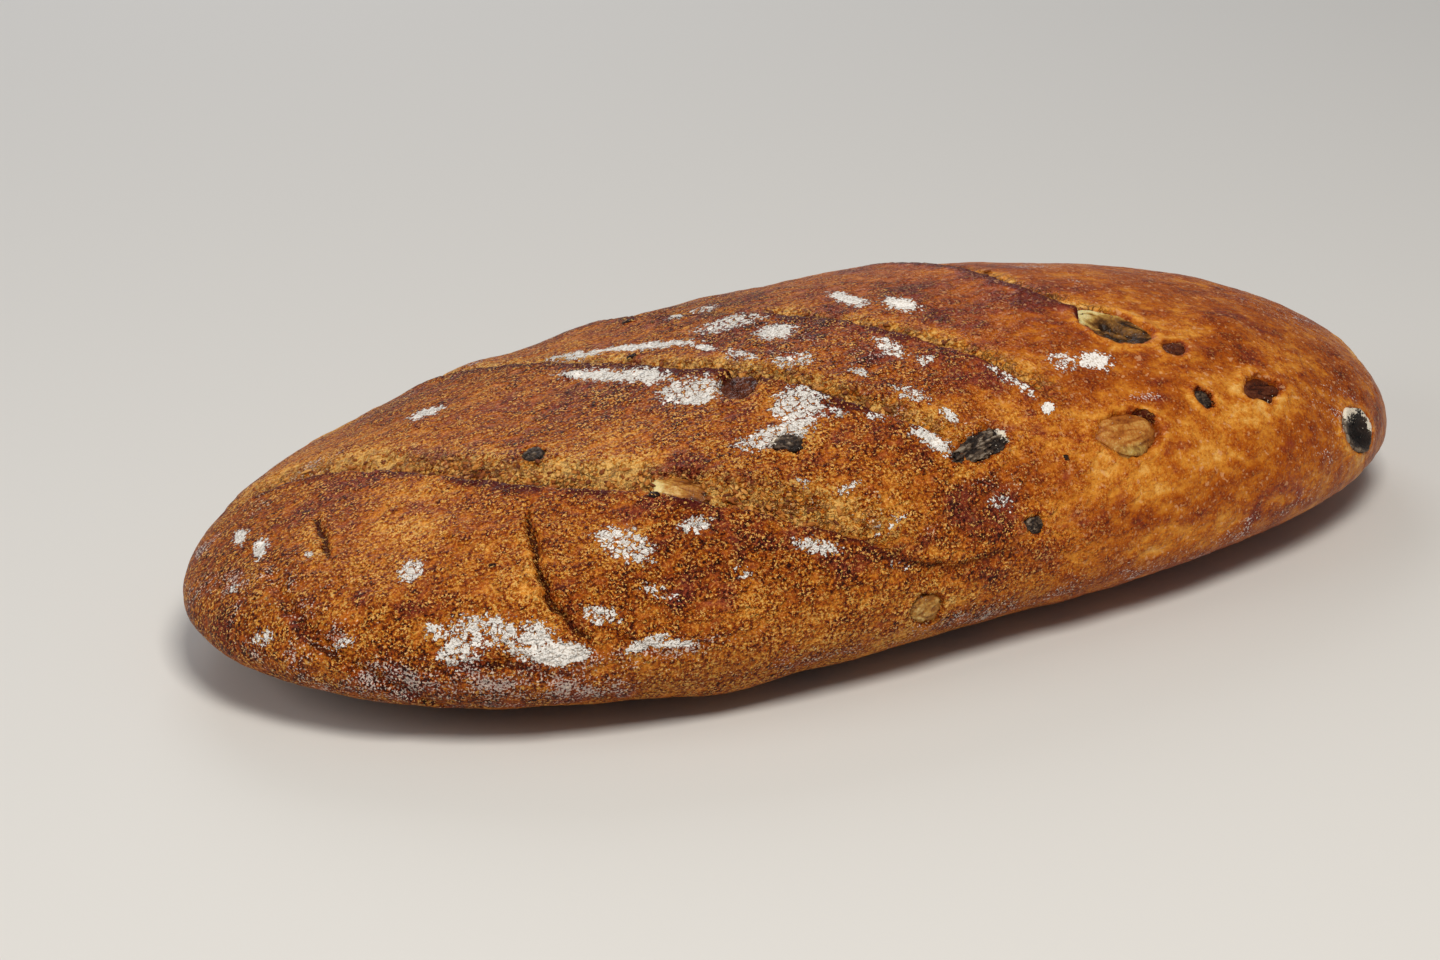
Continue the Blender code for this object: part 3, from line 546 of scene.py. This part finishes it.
# flour dust, and the long bands near the far rim at the back are also painted sheen
DUST_AND_SHEEN = [
    ((-133, 90), (8.5, 4.7), 12, 0.35), ((-92, 94), (14, 8), 2, 0.5), ((54, 46), (9.3, 2.9), 16, 0.45),
    ((67, -2), (9.3, 3.5), -77, 0.6), ((103, 80), (12, 7), 12, 0.35), ((65, -16), (13.6, 11.6), 18, 0.6),
    ((120, 12), (24, 17), 39, 0.35), ((-113, -26), (28, 8), -3, 0.5), ((-135, -40), (10, 12), -33, 0.5),
    ((-106, 108), (30, 9), 3, 0.5), ((-129, 110), (22, 9), 27, 0.5), ((-124, 17), (9, 5), 40, 0.4),
    ((-20, -40), (150, 16), 0, 0.3), ((70, -34), (90, 20), 5, 0.3), ((0, -100), (220, 12), 0, 0.35),
    ((5, 40), (24, 12), 45, 0.3), ((-10, 12), (30, 12), 40, 0.25), ((110, 60), (20, 20), 0, 0.25),
    ((-126, 70), (12, 8), -17, 0.5), ((20, 108), (180, 8), 0, 0.4), ((8, 62), (16, 12), 20, 0.3),
    ((-20, 60), (36, 10), 20, 0.25), ((-98, 96), (60, 9), 4, 0.8), ((-124, 92), (24, 12), 30, 0.6),
    ((-76, 90), (44, 6), 0, 0.7), ((-137, 40), (12, 20), 0, 0.4), ((-142, -20), (8, 60), 0, 0.6),
]

SPOT_HEIGHT = 0.5 * MM        # how far a crumb of olive stands out of the crust
print("patches:", sum(len(rows) for rows in (GOLDEN, BROWNED, FLOUR, PASTE, SPOTS, DUST_AND_SHEEN)))


# %% Mark the patches
def patch(place, size, turn, strength, softness):
    """A soft ellipse on the crust, full to its middle and gone a little past its edge."""
    edge, _ = spread_from(point, place, size, turn)
    return strength * fade(edge, 1 - softness, 2 * softness)


for name, rows, softness in (("golden", GOLDEN, 0.6), ("browned", BROWNED, 0.6), ("flour", FLOUR, 0.45),
                             ("paste", PASTE, 0.4), ("spot", SPOTS, 0.3), ("dust", DUST_AND_SHEEN, 0.8)):
    for row in rows:
        mark(name, patch(*row, softness))
lean = np.degrees(np.arctan2(-point[:, 1], point[:, 2] - WAIST))
mark("browned", 0.45 * bell(lean, -5, 42) * fade(point[:, 0], 50 * MM, 30 * MM))
mark("smooth", smooth_step((point[:, 0] + 25 * MM) / (80 * MM)))
for name in ("flour", "paste"):
    marks[name] *= 1 - np.clip(1.5 * marks["torn"], 0, 1)
height = height + SPOT_HEIGHT * marks["spot"]
for name in marks:
    print(name, "from", round(float(marks[name].min()), 1), "to", round(float(marks[name].max()), 1))

# %% [markdown]
# ## The crust as two meshes
# The grid is moved out by its height, flattened where it meets the tray, and closed by one point
# at each tip. It is cut across the middle into two meshes, because one would be too heavy to pass
# on. Both take their normals from the whole surface, so the shading runs on across the join. The
# marks go along as attributes, one number per point, which the material reads.

# %% Build the crust
body = point + out * height[:, None]
body[:, 2] = np.maximum(body[:, 2], 0)
grid = body.reshape(*grid_size, 3)
slope = np.gradient(grid, axis=0)
round_it = np.roll(grid, -1, axis=1) - np.roll(grid, 1, axis=1)
normals = unit(np.cross(round_it, slope))
MIDDLE_ROW = grid_size[0] // 2
TIPS = plain_form(np.array([-1.0, 1.0]), np.zeros(2))


def put(name, data):
    """An object in the scene."""
    thing = bpy.data.objects.new(name, data)
    bpy.context.scene.collection.objects.link(thing)
    return thing


def half_crust(name, rows, tip, outward):
    """The grid's rows as one mesh, with a fan of triangles to the loaf's tip at one end."""
    corners = grid[rows].reshape(-1, 3)
    number = np.arange(len(corners)).reshape(-1, grid_size[1])
    beside = np.roll(number, -1, axis=1)
    faces = np.stack([number[:-1], beside[:-1], beside[1:], number[1:]], -1).reshape(-1, 4).tolist()
    end = 0 if outward < 0 else -1
    fan = np.stack([np.full(grid_size[1], len(corners)), number[end], beside[end]], -1)[:, ::outward]
    mesh = bpy.data.meshes.new(name)
    mesh.from_pydata([*corners.tolist(), tip.tolist()], [], [*faces, *fan.tolist()])
    mesh.shade_smooth()
    mesh.normals_split_custom_set_from_vertices([*normals[rows].reshape(-1, 3).tolist(), (outward, 0, 0)])
    for key, values in marks.items():
        values = values.reshape(grid_size)[rows].ravel()
        mesh.attributes.new(key, 'FLOAT', 'POINT').data.foreach_set("value", [*values, 0])
    half = put(name, mesh)
    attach(half, "root")
    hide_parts("loaf")
    print(name, "has", len(mesh.polygons), "faces")
    return half


halves = [half_crust("baked_crust_left", np.s_[:MIDDLE_ROW + 1], TIPS[0], -1),
          half_crust("baked_crust_right", np.s_[MIDDLE_ROW:], TIPS[1], 1)]

# %% [markdown]
# ## The crust's material
# A bread crust is dough whose skin dried and browned: thin, hard, slightly glossy, and full of
# grains about a millimetre across, each browned a little differently. So the material starts from
# one number, how browned the crust is, and a ramp of real crust colours from pale gold to nearly
# black. Noise and the marks push that number up or down. Flour lies over it as a second colour.
# One function adds a node with its settings and links. Four more take the steps that repeat: a
# mask, a colour laid over another, a weighted sum, and a number that noise pushes up and down.

# %% Helpers for materials
def linear(code):
    """A linear colour from an sRGB hex code."""
    values = [int(code[start:start + 2], 16) / 255 for start in (0, 2, 4)]
    return (*[v / 12.92 if v < 0.04045 else ((v + 0.055) / 1.055) ** 2.4 for v in values], 1)


def new_material(name, **values):
    """An empty material: its node tree and its surface shader, with values set on the shader."""
    material = bpy.data.materials.new(name)
    material.use_nodes = True
    surface = material.node_tree.nodes["Principled BSDF"]
    for key, value in values.items():
        surface.inputs[key.replace("_", " ")].default_value = value
    return material, material.node_tree, surface


def add(tree, kind, *values, output=0, stops=(), **named):
    """Add a node and give back one of its outputs.

    The values are numbers or outputs of other nodes. They go to its inputs in order, and None
    skips one. A name with a capital letter is an input too, and any other name is a setting. A
    colour ramp takes stops, pairs of a position and a hex code.
    """
    node = tree.nodes.new("ShaderNode" + kind)
    inputs = dict(enumerate(values))
    for key, value in named.items():
        if key[0].isupper():
            inputs[key] = value
        else:
            setattr(node, key, value)
    for key, value in inputs.items():
        if isinstance(value, bpy.types.NodeSocket):
            tree.links.new(value, node.inputs[key])
        elif value is not None:
            node.inputs[key].default_value = value
    for number, (position, code) in enumerate(stops):
        elements = node.color_ramp.elements
        element = elements[number] if number < 2 else elements.new(position)
        element.position = position
        element.color = linear(code)
    return node.outputs[output]


def mask(tree, *parts):
    """How much is there, 0 to 1: all the parts times each other.

    A part is a number, an output, or (output, start, end), which is 0 at its start and 1 at its end.
    """
    total = None
    for part in parts:
        if isinstance(part, tuple):
            part = add(tree, "MapRange", *part, interpolation_type='SMOOTHSTEP')
        total = part if total is None else add(tree, "Math", total, part, operation='MULTIPLY')
    return total


def paint(tree, colour, over, *parts):
    """Lay a colour, an output or a hex code, over another where the mask of the parts is 1."""
    over = linear(over) if isinstance(over, str) else over
    return add(tree, "Mix", mask(tree, *parts), *[None] * 5, colour, over, data_type='RGBA', output=2)


def weigh(tree, base, *parts):
    """A number plus each part times its share."""
    for part, share in parts:
        base = add(tree, "Math", part, share, base, operation='MULTIPLY_ADD')
    return base


def push(tree, base, *parts):
    """The same for noise, which pushes the number up where it is over 0.5 and down where under."""
    for part, share in parts:
        base = weigh(tree, base, (add(tree, "Math", part, 0.5, operation='SUBTRACT'), share))
    return base


# %% [markdown]
# ### Marks and noise
# A grain of wheat flour in the skin is about 0.3 mm, drawn a little coarser so that it shows.
# Rolling the dough pulled its skin lengthwise, so the middling patterns are longer along the loaf.
# Grains stand in clumps, and fade to the smooth far end.

# %% Read the marks and make the noise
material, tree, surface = new_material("oven-browned wheat crust, floured", IOR=1.45,
                                       Specular_IOR_Level=0.14)
place = add(tree, "TexCoord", output="Object")
marked = {name: add(tree, "Attribute", attribute_name=name, output="Fac") for name in marks}
pulled = add(tree, "VectorMath", place, (0.75, 1.05, 1.05), operation='MULTIPLY')
NOISES = dict(                # where it is read, size of its grains in millimetres, detail, roughness
    broad=(place, 26, 3, 0.5), cloud=(pulled, 7, 4, 0.65), streak=(pulled, 2.6, 4, 0.6),
    shred=(pulled, 1.7, 4, 0.7), grain=(place, 0.75, 1.5, 0.7), fine=(place, 0.5, 1.5, 0.6),
    jag=(place, 0.9, 3, 0.6), dot=(place, 1.2, 1, 0.5), flake=(place, 1.5, 3, 0.7),
)
broad, cloud, streak, shred, grain, fine, jag, dot, flake = [
    add(tree, "TexNoise", where, Scale=1 / (size * MM), Detail=detail, Roughness=rough)
    for where, size, detail, rough in NOISES.values()]
bend = add(tree, "TexNoise", place, Scale=1 / (1.4 * MM), Detail=2.0, output=1)
bent = add(tree, "VectorMath", bend, (2.2 * MM,) * 3, place, operation='MULTIPLY_ADD')
grainy = mask(tree, weigh(tree, 1.0, (marked["smooth"], -0.8)), weigh(tree, 0.3, (broad, 1.0)),
              weigh(tree, 0.45, (mask(tree, (streak, 0.35, 0.62)), 1.1)))
print("crust material:", len(marks), "marks,", len(NOISES) + 1, "noises")

# %% [markdown]
# ### How browned it is
# 0 is pale gold and 1 is nearly black. Plain crust is brown, the stretched skin at a fold or an
# olive is more golden, and the hottest patches turn a scorched red. Painted shade in the grooves,
# hollows and gaps pushes the number darker too.

# %% Brown the crust
brown_and_shade = push(tree, 0.44, (broad, 0.6), (cloud, 0.85), (streak, weigh(tree, 0.45, (marked["smooth"], 0.4))),
             (grain, mask(tree, grainy, 2.4)), (shred, weigh(tree, 0.3, (marked["torn"], 1.4))))
# grooves, hollows and gaps push the number darker here as painted shade
brown_and_shade = weigh(tree, brown_and_shade, (marked["browned"], 0.22), (marked["golden"], -0.15), (marked["lip"], 0.26),
              (marked["torn"], -0.22), (marked["groove"], 0.42))
plain = add(tree, "ValToRGB", brown_and_shade, stops=[
    (0.0, "e4a94f"), (0.2, "cb7c24"), (0.4, "aa540c"), (0.58, "8d3b07"), (0.76, "662507"), (1.0, "2f0f05")])
stretched = add(tree, "ValToRGB", brown_and_shade, stops=[
    (0.0, "f2be6c"), (0.2, "db9032"), (0.4, "bf6816"), (0.58, "a1470e"), (0.76, "78290b"), (1.0, "3a1307")])
scorched = add(tree, "ValToRGB", brown_and_shade, stops=[
    (0.0, "c88a66"), (0.25, "a8583a"), (0.5, "86341f"), (0.75, "5c2016"), (1.0, "2b0d0a")])
golden = add(tree, "Math", marked["golden"], mask(tree, marked["torn"], 0.8), operation='MAXIMUM')
colour = paint(tree, plain, stretched, golden)
hottest = weigh(tree, cloud, (marked["browned"], 0.26))
colour = paint(tree, colour, scorched, (hottest, 0.57, 0.77), 0.95)
print("browning:", len(tree.nodes), "nodes so far")

# %% [markdown]
# ### Torn dough, lips and cracks
# Torn dough shows pale dry flakes about 1.5 mm across, with painted shade in the thin crevices
# between them. The lip's edge caught most heat and has a broken dark red line. Painted shade darkens
# the small holes at its foot where the dough tore deepest, and darker still the cracks and the gaps
# round the olives. Crumbs of olive are nearly black.

# %% Colour the torn beds, the lips and the cracks
flakes = add(tree, "TexVoronoi", bent, Scale=1 / (1.6 * MM), feature='DISTANCE_TO_EDGE')
# painted shade in the thin crevices between the torn flakes
shaded_crevice = mask(tree, (flakes, 0.12, 0.02), marked["torn"], (cloud, 0.40, 0.54))
flaky = mask(tree, (shred, 0.53, 0.59), (marked["torn"], 0.2, 0.7))
colour = paint(tree, colour, "e8ab66", flaky, 0.7)
colour = paint(tree, colour, "5a2010", shaded_crevice, 0.85)

cut_gap = push(tree, marked["cut_gap"], (jag, 2.4))
colour = paint(tree, colour, "561812", (cut_gap, -3.2, -0.9), (cut_gap, 0.9, 0.3),
               (marked["lip"], 0.02, 0.35))
# painted shade in the small holes at the lip's foot
shaded_hole = mask(tree, (cut_gap, 0.3, 0.9), (cut_gap, 3.6, 2.4), (marked["torn"], 0.05, 0.3),
               (streak, 0.49, 0.56))
colour = paint(tree, colour, "48180d", shaded_hole, 0.85)
# painted shade in the cracks, at the foot of the folds and in the gaps round the olives
at_crack, at_olive = [mask(tree, (push(tree, marked[name], (jag, jaggedness)), 0.6, 0.2))
                      for name, jaggedness in (("crack_gap", 2.2), ("olive_gap", 1.0))]
shaded_gap = add(tree, "Math", at_crack, at_olive, operation='MAXIMUM')
colour = paint(tree, colour, "43150b", shaded_gap, 0.9)
colour = paint(tree, colour, "241310", (push(tree, marked["spot"], (streak, 1.4)), 0.35, 0.5))
print("torn beds, lips and cracks:", len(tree.nodes), "nodes so far")

# %% [markdown]
# ### Grain and dust, with painted shade and glints
# Grains that stand up dried pale and are also painted paler as glints, and the pores between
# them are painted dark as shade. Dust is single grains of flour, the more of them the thicker it
# lies, and along the far rim it also stands for painted sheen.

# %% Add painted shade in the pores, pale grains with painted glints, and dust
# painted shade in the pores between the grains
shaded_pore = mask(tree, (push(tree, fine, (streak, 0.35)), 0.42, 0.37), weigh(tree, 1.0, (marked["torn"], -0.7)))
colour = paint(tree, colour, "431706", shaded_pore, grainy, 0.85)
# pale specks on the grains: pale dried tips and painted glints
colour = paint(tree, colour, "efb562", (push(tree, fine, (shred, 0.5)), 0.60, 0.63), grainy)
colour = paint(tree, colour, "e0a777", (dot, 0.64, 0.70), marked["smooth"], 0.5)
# pale flour dust, which along the far rim is also painted sheen
dust_and_sheen_grains = weigh(tree, fine, (cloud, 0.8), (marked["dust"], 0.34))
colour = paint(tree, colour, "e3d3c9", (dust_and_sheen_grains, 1.16, 1.22), (marked["dust"], 0.0, 0.15), 0.75)
print("grain and dust:", len(tree.nodes), "nodes so far")

# %% [markdown]
# ### Flour
# Thick flour is white paste. It cracked into cells about 1.8 mm wide, and crumbles at its edge.
# Where it is thickest it has no cracks.

# %% Lay the flour
cells = add(tree, "TexVoronoi", bent, Scale=1 / (1.8 * MM), feature='DISTANCE_TO_EDGE')
cracked = push(tree, cells, (flake, 0.5))
crumbling = push(tree, -0.49, (flake, 2.8), (fine, 1.6))
thin = mask(tree, (weigh(tree, crumbling, (marked["flour"], 1.0)), -0.07, 0.07), (cracked, 0.03, 0.07),
            (marked["flour"], 0.0, 0.12))
whole = mask(tree, (weigh(tree, marked["paste"], (crumbling, 0.7)), -0.05, 0.06),
             (marked["paste"], 0.0, 0.12))
floury = add(tree, "Math", thin, whole, operation='MAXIMUM')
white = add(tree, "ValToRGB", fine, stops=[(0.35, "d2c4b6"), (0.5, "faf5ee")])
tree.links.new(paint(tree, colour, white, floury), surface.inputs["Base Color"])
print("flour:", len(tree.nodes), "nodes so far")

# %% [markdown]
# ### Gloss and bumps
# The dry skin is dull where it is grained, and has a little more gloss at the smooth far end. Bumps
# that are finer than the mesh are grain, torn shreds, cracks and the flour's thickness.

# %% Set the gloss and the bumps
roughness = weigh(tree, 0.44, (marked["smooth"], -0.08), (floury, 0.4))
tree.links.new(roughness, surface.inputs["Roughness"])
deep = mask(tree, weigh(tree, grain, (fine, 0.9)), grainy)
deep = weigh(tree, deep, (cloud, 0.8), (streak, 0.35), (shaded_crevice, -1.2), (flaky, 0.6), (shaded_gap, -1.1),
             (shaded_hole, -0.9), (floury, 0.4), (mask(tree, shred, marked["torn"]), 2.0))
bump = add(tree, "Bump", Strength=1.0, Distance=0.9 * MM, Height=deep)
tree.links.new(bump, surface.inputs["Normal"])
for half in halves:
    half.data.materials.append(material)
print("crust material:", len(tree.nodes), "nodes")

# %% [markdown]
# ## The olives' materials
# Cured green olive bakes to a waxy, slightly see-through yellow-brown. Ripe black olive turns to a
# glossy dark red-brown, and where it met the oven's heat bare it scorches to dull black with grey
# grain. All three are soft fruit flesh, so light goes a little way in.

# %% Make the three olive materials
FLESH = dict(                 # name, roughness, how much light goes in, colours from pale to dark
    green=("baked green olive flesh, waxy", 0.36, 0.2,
           [(0.0, "e2d093"), (0.3, "b8924a"), (0.55, "8a5f2a"), (0.8, "573716"), (1.0, "2b190a")]),
    ripe=("baked ripe olive skin, oily", 0.26, 0.1,
          [(0.0, "74442a"), (0.35, "522513"), (0.65, "34150b"), (1.0, "190806")]),
    scorched=("scorched olive skin, dry", 0.5, 0.03,
              [(0.0, "8f8272"), (0.2, "5a4a3b"), (0.42, "2c221d"), (1.0, "0c0a0b")]),
)
flesh = {}
for kind, (title, rough, soft, stops) in FLESH.items():
    material, tree, surface = new_material(title, Roughness=rough, IOR=1.45, Specular_IOR_Level=0.2,
                                           Subsurface_Weight=soft, Subsurface_Scale=1.5 * MM,
                                           Subsurface_Radius=(1.0, 0.5, 0.2))
    place = add(tree, "TexCoord", output="Object")
    shade, skin, white = [add(tree, "Attribute", attribute_name=name, output="Fac")
                          for name in ("shade", "skin", "white")]
    wrinkle, grit, patchy = [add(tree, "TexNoise", place, Scale=1 / (size * MM), Detail=detail, Roughness=0.6)
                             for size, detail in ((1.6, 3), (0.6, 2), (4.5, 3))]
    mixed = push(tree, shade, (patchy, 1.0), (wrinkle, 0.6), (grit, 0.5))
    fruit = add(tree, "ValToRGB", mixed, stops=stops)
    dough = add(tree, "ValToRGB", mixed, stops=[
        (0.1, "cf9448"), (0.4, "ad6320"), (0.7, "854012"), (1.0, "47230f")])
    colour = paint(tree, fruit, dough, skin, (wrinkle, 0.2, 0.4))
    floury = push(tree, white, (wrinkle, 2.0), (grit, 1.5))
    tree.links.new(paint(tree, colour, "e8ddca", (floury, 0.45, 0.62)), surface.inputs["Base Color"])
    bump = add(tree, "Bump", Strength=0.8, Distance=0.3 * MM, Height=weigh(tree, wrinkle, (grit, 1.0)))
    tree.links.new(bump, surface.inputs["Normal"])
    flesh[kind] = material
print("olive materials:", ", ".join(m.name for m in flesh.values()))

# %% [markdown]
# ## Shaping the olives
# A sphere of fine triangles is stretched to the piece's three sizes, and a little wider, because
# the dough closed over its edge. Its top is flatter than a ball's, so it lies level with the crust.
# Slow noise makes it lumpy and quicker noise wrinkles its skin. A piece that was cut open is flat
# on top, with the hollow of its stone in the middle and a raised edge round it.

# %% Shape and seat each olive
LUMPS = 0.09                  # how lumpy an olive is, as a share of its radius
HIDDEN = 1.12                 # an olive is this much wider under the crust than what shows of it
OLIVE_SQUARENESS = 3.2        # from the side: 2 is an ellipse, more has a flatter top
WRINKLES = 0.05               # how deep its creases are, as a share of its radius
LARGE = 9                     # an olive longer than this many millimetres gets a finer mesh
CUT_HEIGHT = 0.62             # a cut olive's height over its middle, as a share of a whole one's


def olive_pose(name, olive):
    """Where an olive lies: its long side, its short side and its top, seated in the crust."""
    centre, along, down, up = crust_at(olive["place"])
    turn = math.radians(olive["turn"])
    long = Vector(along * math.cos(turn) + down * math.sin(turn))
    up = Vector(up)
    top = olive["size"][2] / 2 * (CUT_HEIGHT if "pit" in olive else 1)
    pose = Matrix((long, up.cross(long), up)).transposed().to_4x4()
    pose.translation = Vector(centre) + up * (seats[name] + (olive["stand"] - top) * MM)
    return pose


def olive_shape(name, olive):
    """A lumpy, wrinkled piece with its marks: shade from pale to dark, with painted shade in its creases and
    its stone's hollow, dough skin over it, flour.
    """
    shape = bmesh.new()
    bmesh.ops.create_icosphere(shape, subdivisions=6 if max(olive["size"]) > LARGE else 5, radius=1)
    half = Vector(olive["size"]) * MM / 2
    seed = Vector((*olive["place"], 0)) / 10
    scrap = olive.get("scrap", 0)
    rows = []
    for corner in shape.verts:
        way = corner.co.copy()
        middle = math.hypot(way.x, way.y)
        angle = math.degrees(math.atan2(way.y, way.x))
        fold = abs(noise.noise(Vector((way.x * 1.2, way.y * 3.2, way.z * 3.2)) + seed))
        crease = 1 - min(1, 4 * fold)
        flake = noise.noise(way * 4.5 + seed) + 0.6 * noise.noise(way * 10 + seed)
        full = (middle ** OLIVE_SQUARENESS + abs(way.z) ** OLIVE_SQUARENESS) ** (-1 / OLIVE_SQUARENESS)
        folded = olive.get("folded", 0)
        lump = full * (1 + LUMPS * noise.noise(way * 1.4 + seed) - WRINKLES * (1 + 1.5 * folded) * crease)
        lump += 0.06 * noise.noise(way * 3 + seed) + (0.02 + 0.13 * scrap) * flake
        corner.co = Vector((way.x * half.x * HIDDEN, way.y * half.y * HIDDEN, way.z * half.z)) * lump
        # its tone, darker towards its bottom, with painted shade in its creases
        shade = 0.6 - 0.3 * way.z + (0.25 + 0.35 * folded) * crease - 0.3 * scrap * flake
        if "pale_side" in olive:
            shade -= 0.5 * middle * (2 * towards(angle, olive["pale_side"], 80) - 0.9)
        if "pit" in olive and way.z > 0:
            hollow = fade(middle, 0.25, 0.5) * (1 + 0.5 * flake)
            corner.co.z = min(corner.co.z, CUT_HEIGHT * half.z) - olive["pit"] * MM * hollow
            # painted shade darkens the stone's hollow, and the raised edge round it is made paler
            shade += 0.35 * hollow - 0.35 * bell(middle, 0.85, 0.12)
        skin = olive.get("veil", 0) * smooth_step(1.3 * way.z + 0.4 + 0.8 * flake)
        if "bare_side" in olive:
            skin *= 1 - towards(angle, olive["bare_side"], 50) * smooth_step((middle - 0.35) / 0.2)
        white = sum(towards(angle, side, 42) for side in olive.get("floury", ()))
        white *= smooth_step(2.5 * middle - 1)
        rows.append((shade, skin, white))
    mesh = bpy.data.meshes.new(name + "_flesh")
    shape.to_mesh(mesh)
    shape.free()
    for key, values in zip(("shade", "skin", "white"), zip(*rows)):
        mesh.attributes.new(key, 'FLOAT', 'POINT').data.foreach_set("value", values)
    mesh.shade_smooth()
    return mesh


for name, olive in OLIVES.items():
    piece = put(name + "_flesh", olive_shape(name, olive))
    piece.matrix_world = olive_pose(name, olive)
    piece.data.materials.append(flesh[olive["kind"]])
    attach(piece, "root")
    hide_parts(name)
print("olives:", len(OLIVES))

# %% [markdown]
# ## Crumbs in the torn beds
# Where a slash pulled open, the dough tore rather than stretched, and its edge dried to crumbs and
# little flakes, from a third of a millimetre up to two or three. They are too fine for the grid, so
# one small lump is copied many times with its own size, turn and squash, and all copies are joined
# as one mesh. They are drawn with a fixed seed, mostly where the torn mark is strong.

# %% Scatter the crumbs
CRUMBS = 1900
CRUMB_SIZES = (0.35 * MM, 1.4 * MM)
CRUMB_SEED = 7
draw = np.random.default_rng(CRUMB_SEED)
lump = bmesh.new()
bmesh.ops.create_icosphere(lump, subdivisions=2, radius=0.5)
lump_points = np.array([corner.co for corner in lump.verts])
lump_faces = np.array([[corner.index for corner in face.verts] for face in lump.faces])
lump.free()
likely = np.clip(marks["torn"] - 0.4, 0, 1) ** 1.5
spots = draw.choice(len(body), CRUMBS, p=likely / likely.sum())
crumb_points = []
for spot in spots:
    size = CRUMB_SIZES[0] + (CRUMB_SIZES[1] - CRUMB_SIZES[0]) * draw.random() ** 2.2
    squash = size * np.array([1.0 + 0.9 * draw.random(), 0.8, 0.45 + 0.3 * draw.random()])
    spin = Matrix.Rotation(draw.random() * math.tau, 3, Vector(out[spot]))
    stand = np.array(spin @ Vector(out[spot]).to_track_quat('Z', 'Y').to_matrix())
    knobbly = lump_points * (0.8 + 0.4 * draw.random((len(lump_points), 1))) * squash
    crumb_points.append(knobbly @ stand.T + body[spot] + 0.4 * MM * (draw.random(3) - 0.5))
crumb_faces = (lump_faces[None] + len(lump_points) * np.arange(CRUMBS)[:, None, None]).reshape(-1, 3)
crumb_mesh = bpy.data.meshes.new("torn_crumbs")
crumb_mesh.from_pydata(np.vstack(crumb_points).tolist(), [], crumb_faces.tolist())
tone = np.repeat(draw.random(CRUMBS), len(lump_points))
crumb_mesh.attributes.new("tone", 'FLOAT', 'POINT').data.foreach_set("value", tone)
crumb_mesh.shade_smooth()
print("crumbs:", CRUMBS, "with", len(crumb_mesh.polygons), "faces")

# %% Toast the crumbs
material, tree, surface = new_material("toasted wheat crumb, dry", Roughness=0.7, Specular_IOR_Level=0.25)
place = add(tree, "TexCoord", output="Object")
own = add(tree, "Attribute", attribute_name="tone", output="Fac")
grit = add(tree, "TexNoise", place, Scale=1 / (0.5 * MM), Detail=2.0, Roughness=0.5)
toast = weigh(tree, 0.0, (own, 0.7), (grit, 0.5))
colour = add(tree, "ValToRGB", toast, stops=[
    (0.1, "e2b268"), (0.4, "bd7a30"), (0.65, "8f4d18"), (0.9, "5f2b10")])
tree.links.new(colour, surface.inputs["Base Color"])
crumb_mesh.materials.append(material)
crumbs = put("torn_crumbs", crumb_mesh)
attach(crumbs, "root")
print("crumb material:", material.name)

# %% [markdown]
# ## Floor and light
# A plain pale floor and soft lights show the crust as it is. The key light stands high in front, so
# the crest and the front are the brightest and the foot is dark, as in the photograph. Two weaker
# lights show the left end and the far rim.

# %% Set the floor and the lights
FLOOR_SIZE = 6.0
FLOOR_GAP = 0.2 * MM          # the floor lies this far below the loaf's base
floor_mesh = bpy.data.meshes.new("floor")
half = FLOOR_SIZE / 2
corners = [(-half, -half, 0), (half, -half, 0), (half, half, 0), (-half, half, 0)]
floor_mesh.from_pydata(corners, [], [(0, 1, 2, 3)])
floor = put("floor", floor_mesh)
floor.location.z = -FLOOR_GAP
paper = new_material("matt pale paper backdrop", Base_Color=linear("d6d4d0"), Roughness=0.9)[0]
floor_mesh.materials.append(paper)

LIT = (0, 0, 0.02)            # the place in the loaf that the lights point at


def soft_light(name, place, size, power, colour):
    """A square studio light that points at the loaf."""
    light = bpy.data.lights.new(name, 'AREA')
    light.size = size
    light.energy = power
    light.color = linear(colour)[:3]
    lamp = put(name, light)
    lamp.location = place
    lamp.rotation_euler = (Vector(LIT) - Vector(place)).to_track_quat('-Z', 'Y').to_euler()


soft_light("key", (-0.14, -0.5, 0.9), 0.35, 8.1, "fffaf2")
soft_light("side", (-0.9, 0.1, 0.5), 0.5, 2.2, "ffffff")
soft_light("back", (0.2, 0.9, 0.6), 0.6, 3.0, "f8faff")
world = bpy.data.worlds.new("studio")
world.use_nodes = True
background = world.node_tree.nodes["Background"]
background.inputs["Color"].default_value = linear("f2f3f5")
background.inputs["Strength"].default_value = 0.20
bpy.context.scene.world = world
bpy.context.scene.view_settings.view_transform = 'Standard'
print("lights:", len(bpy.data.lights))

# %% [markdown]
# ## The camera
# The photograph looks down at the loaf's front from 23 degrees, from the left of its middle, with
# a long lens. The eye's place is given by two angles and a distance, and a small turn of the
# camera puts the loaf where it is in the frame.

# %% Place the camera
AZIMUTH = math.radians(-29.21)
ELEVATION = math.radians(23.0)
DISTANCE = 0.8
AIM_HEIGHT = 0.02
PAN = math.radians(-1.525)
TILT = math.radians(-0.101)
LENS = 90.5
SENSOR = 36

back = Vector((math.sin(AZIMUTH) * math.cos(ELEVATION), -math.cos(AZIMUTH) * math.cos(ELEVATION),
               math.sin(ELEVATION)))
right = Vector((math.cos(AZIMUTH), math.sin(AZIMUTH), 0))
up = back.cross(right)
look = -back + right * math.tan(PAN) + up * math.tan(TILT)
lens = bpy.data.cameras.new("camera")
lens.lens = LENS
lens.sensor_width = SENSOR
lens.clip_start = 0.05
camera = put("camera", lens)
camera.location = back * DISTANCE + Vector((0, 0, AIM_HEIGHT))
camera.rotation_euler = look.to_track_quat('-Z', 'Y').to_euler()
bpy.context.scene.camera = camera
print("camera at", [round(c, 3) for c in camera.location])
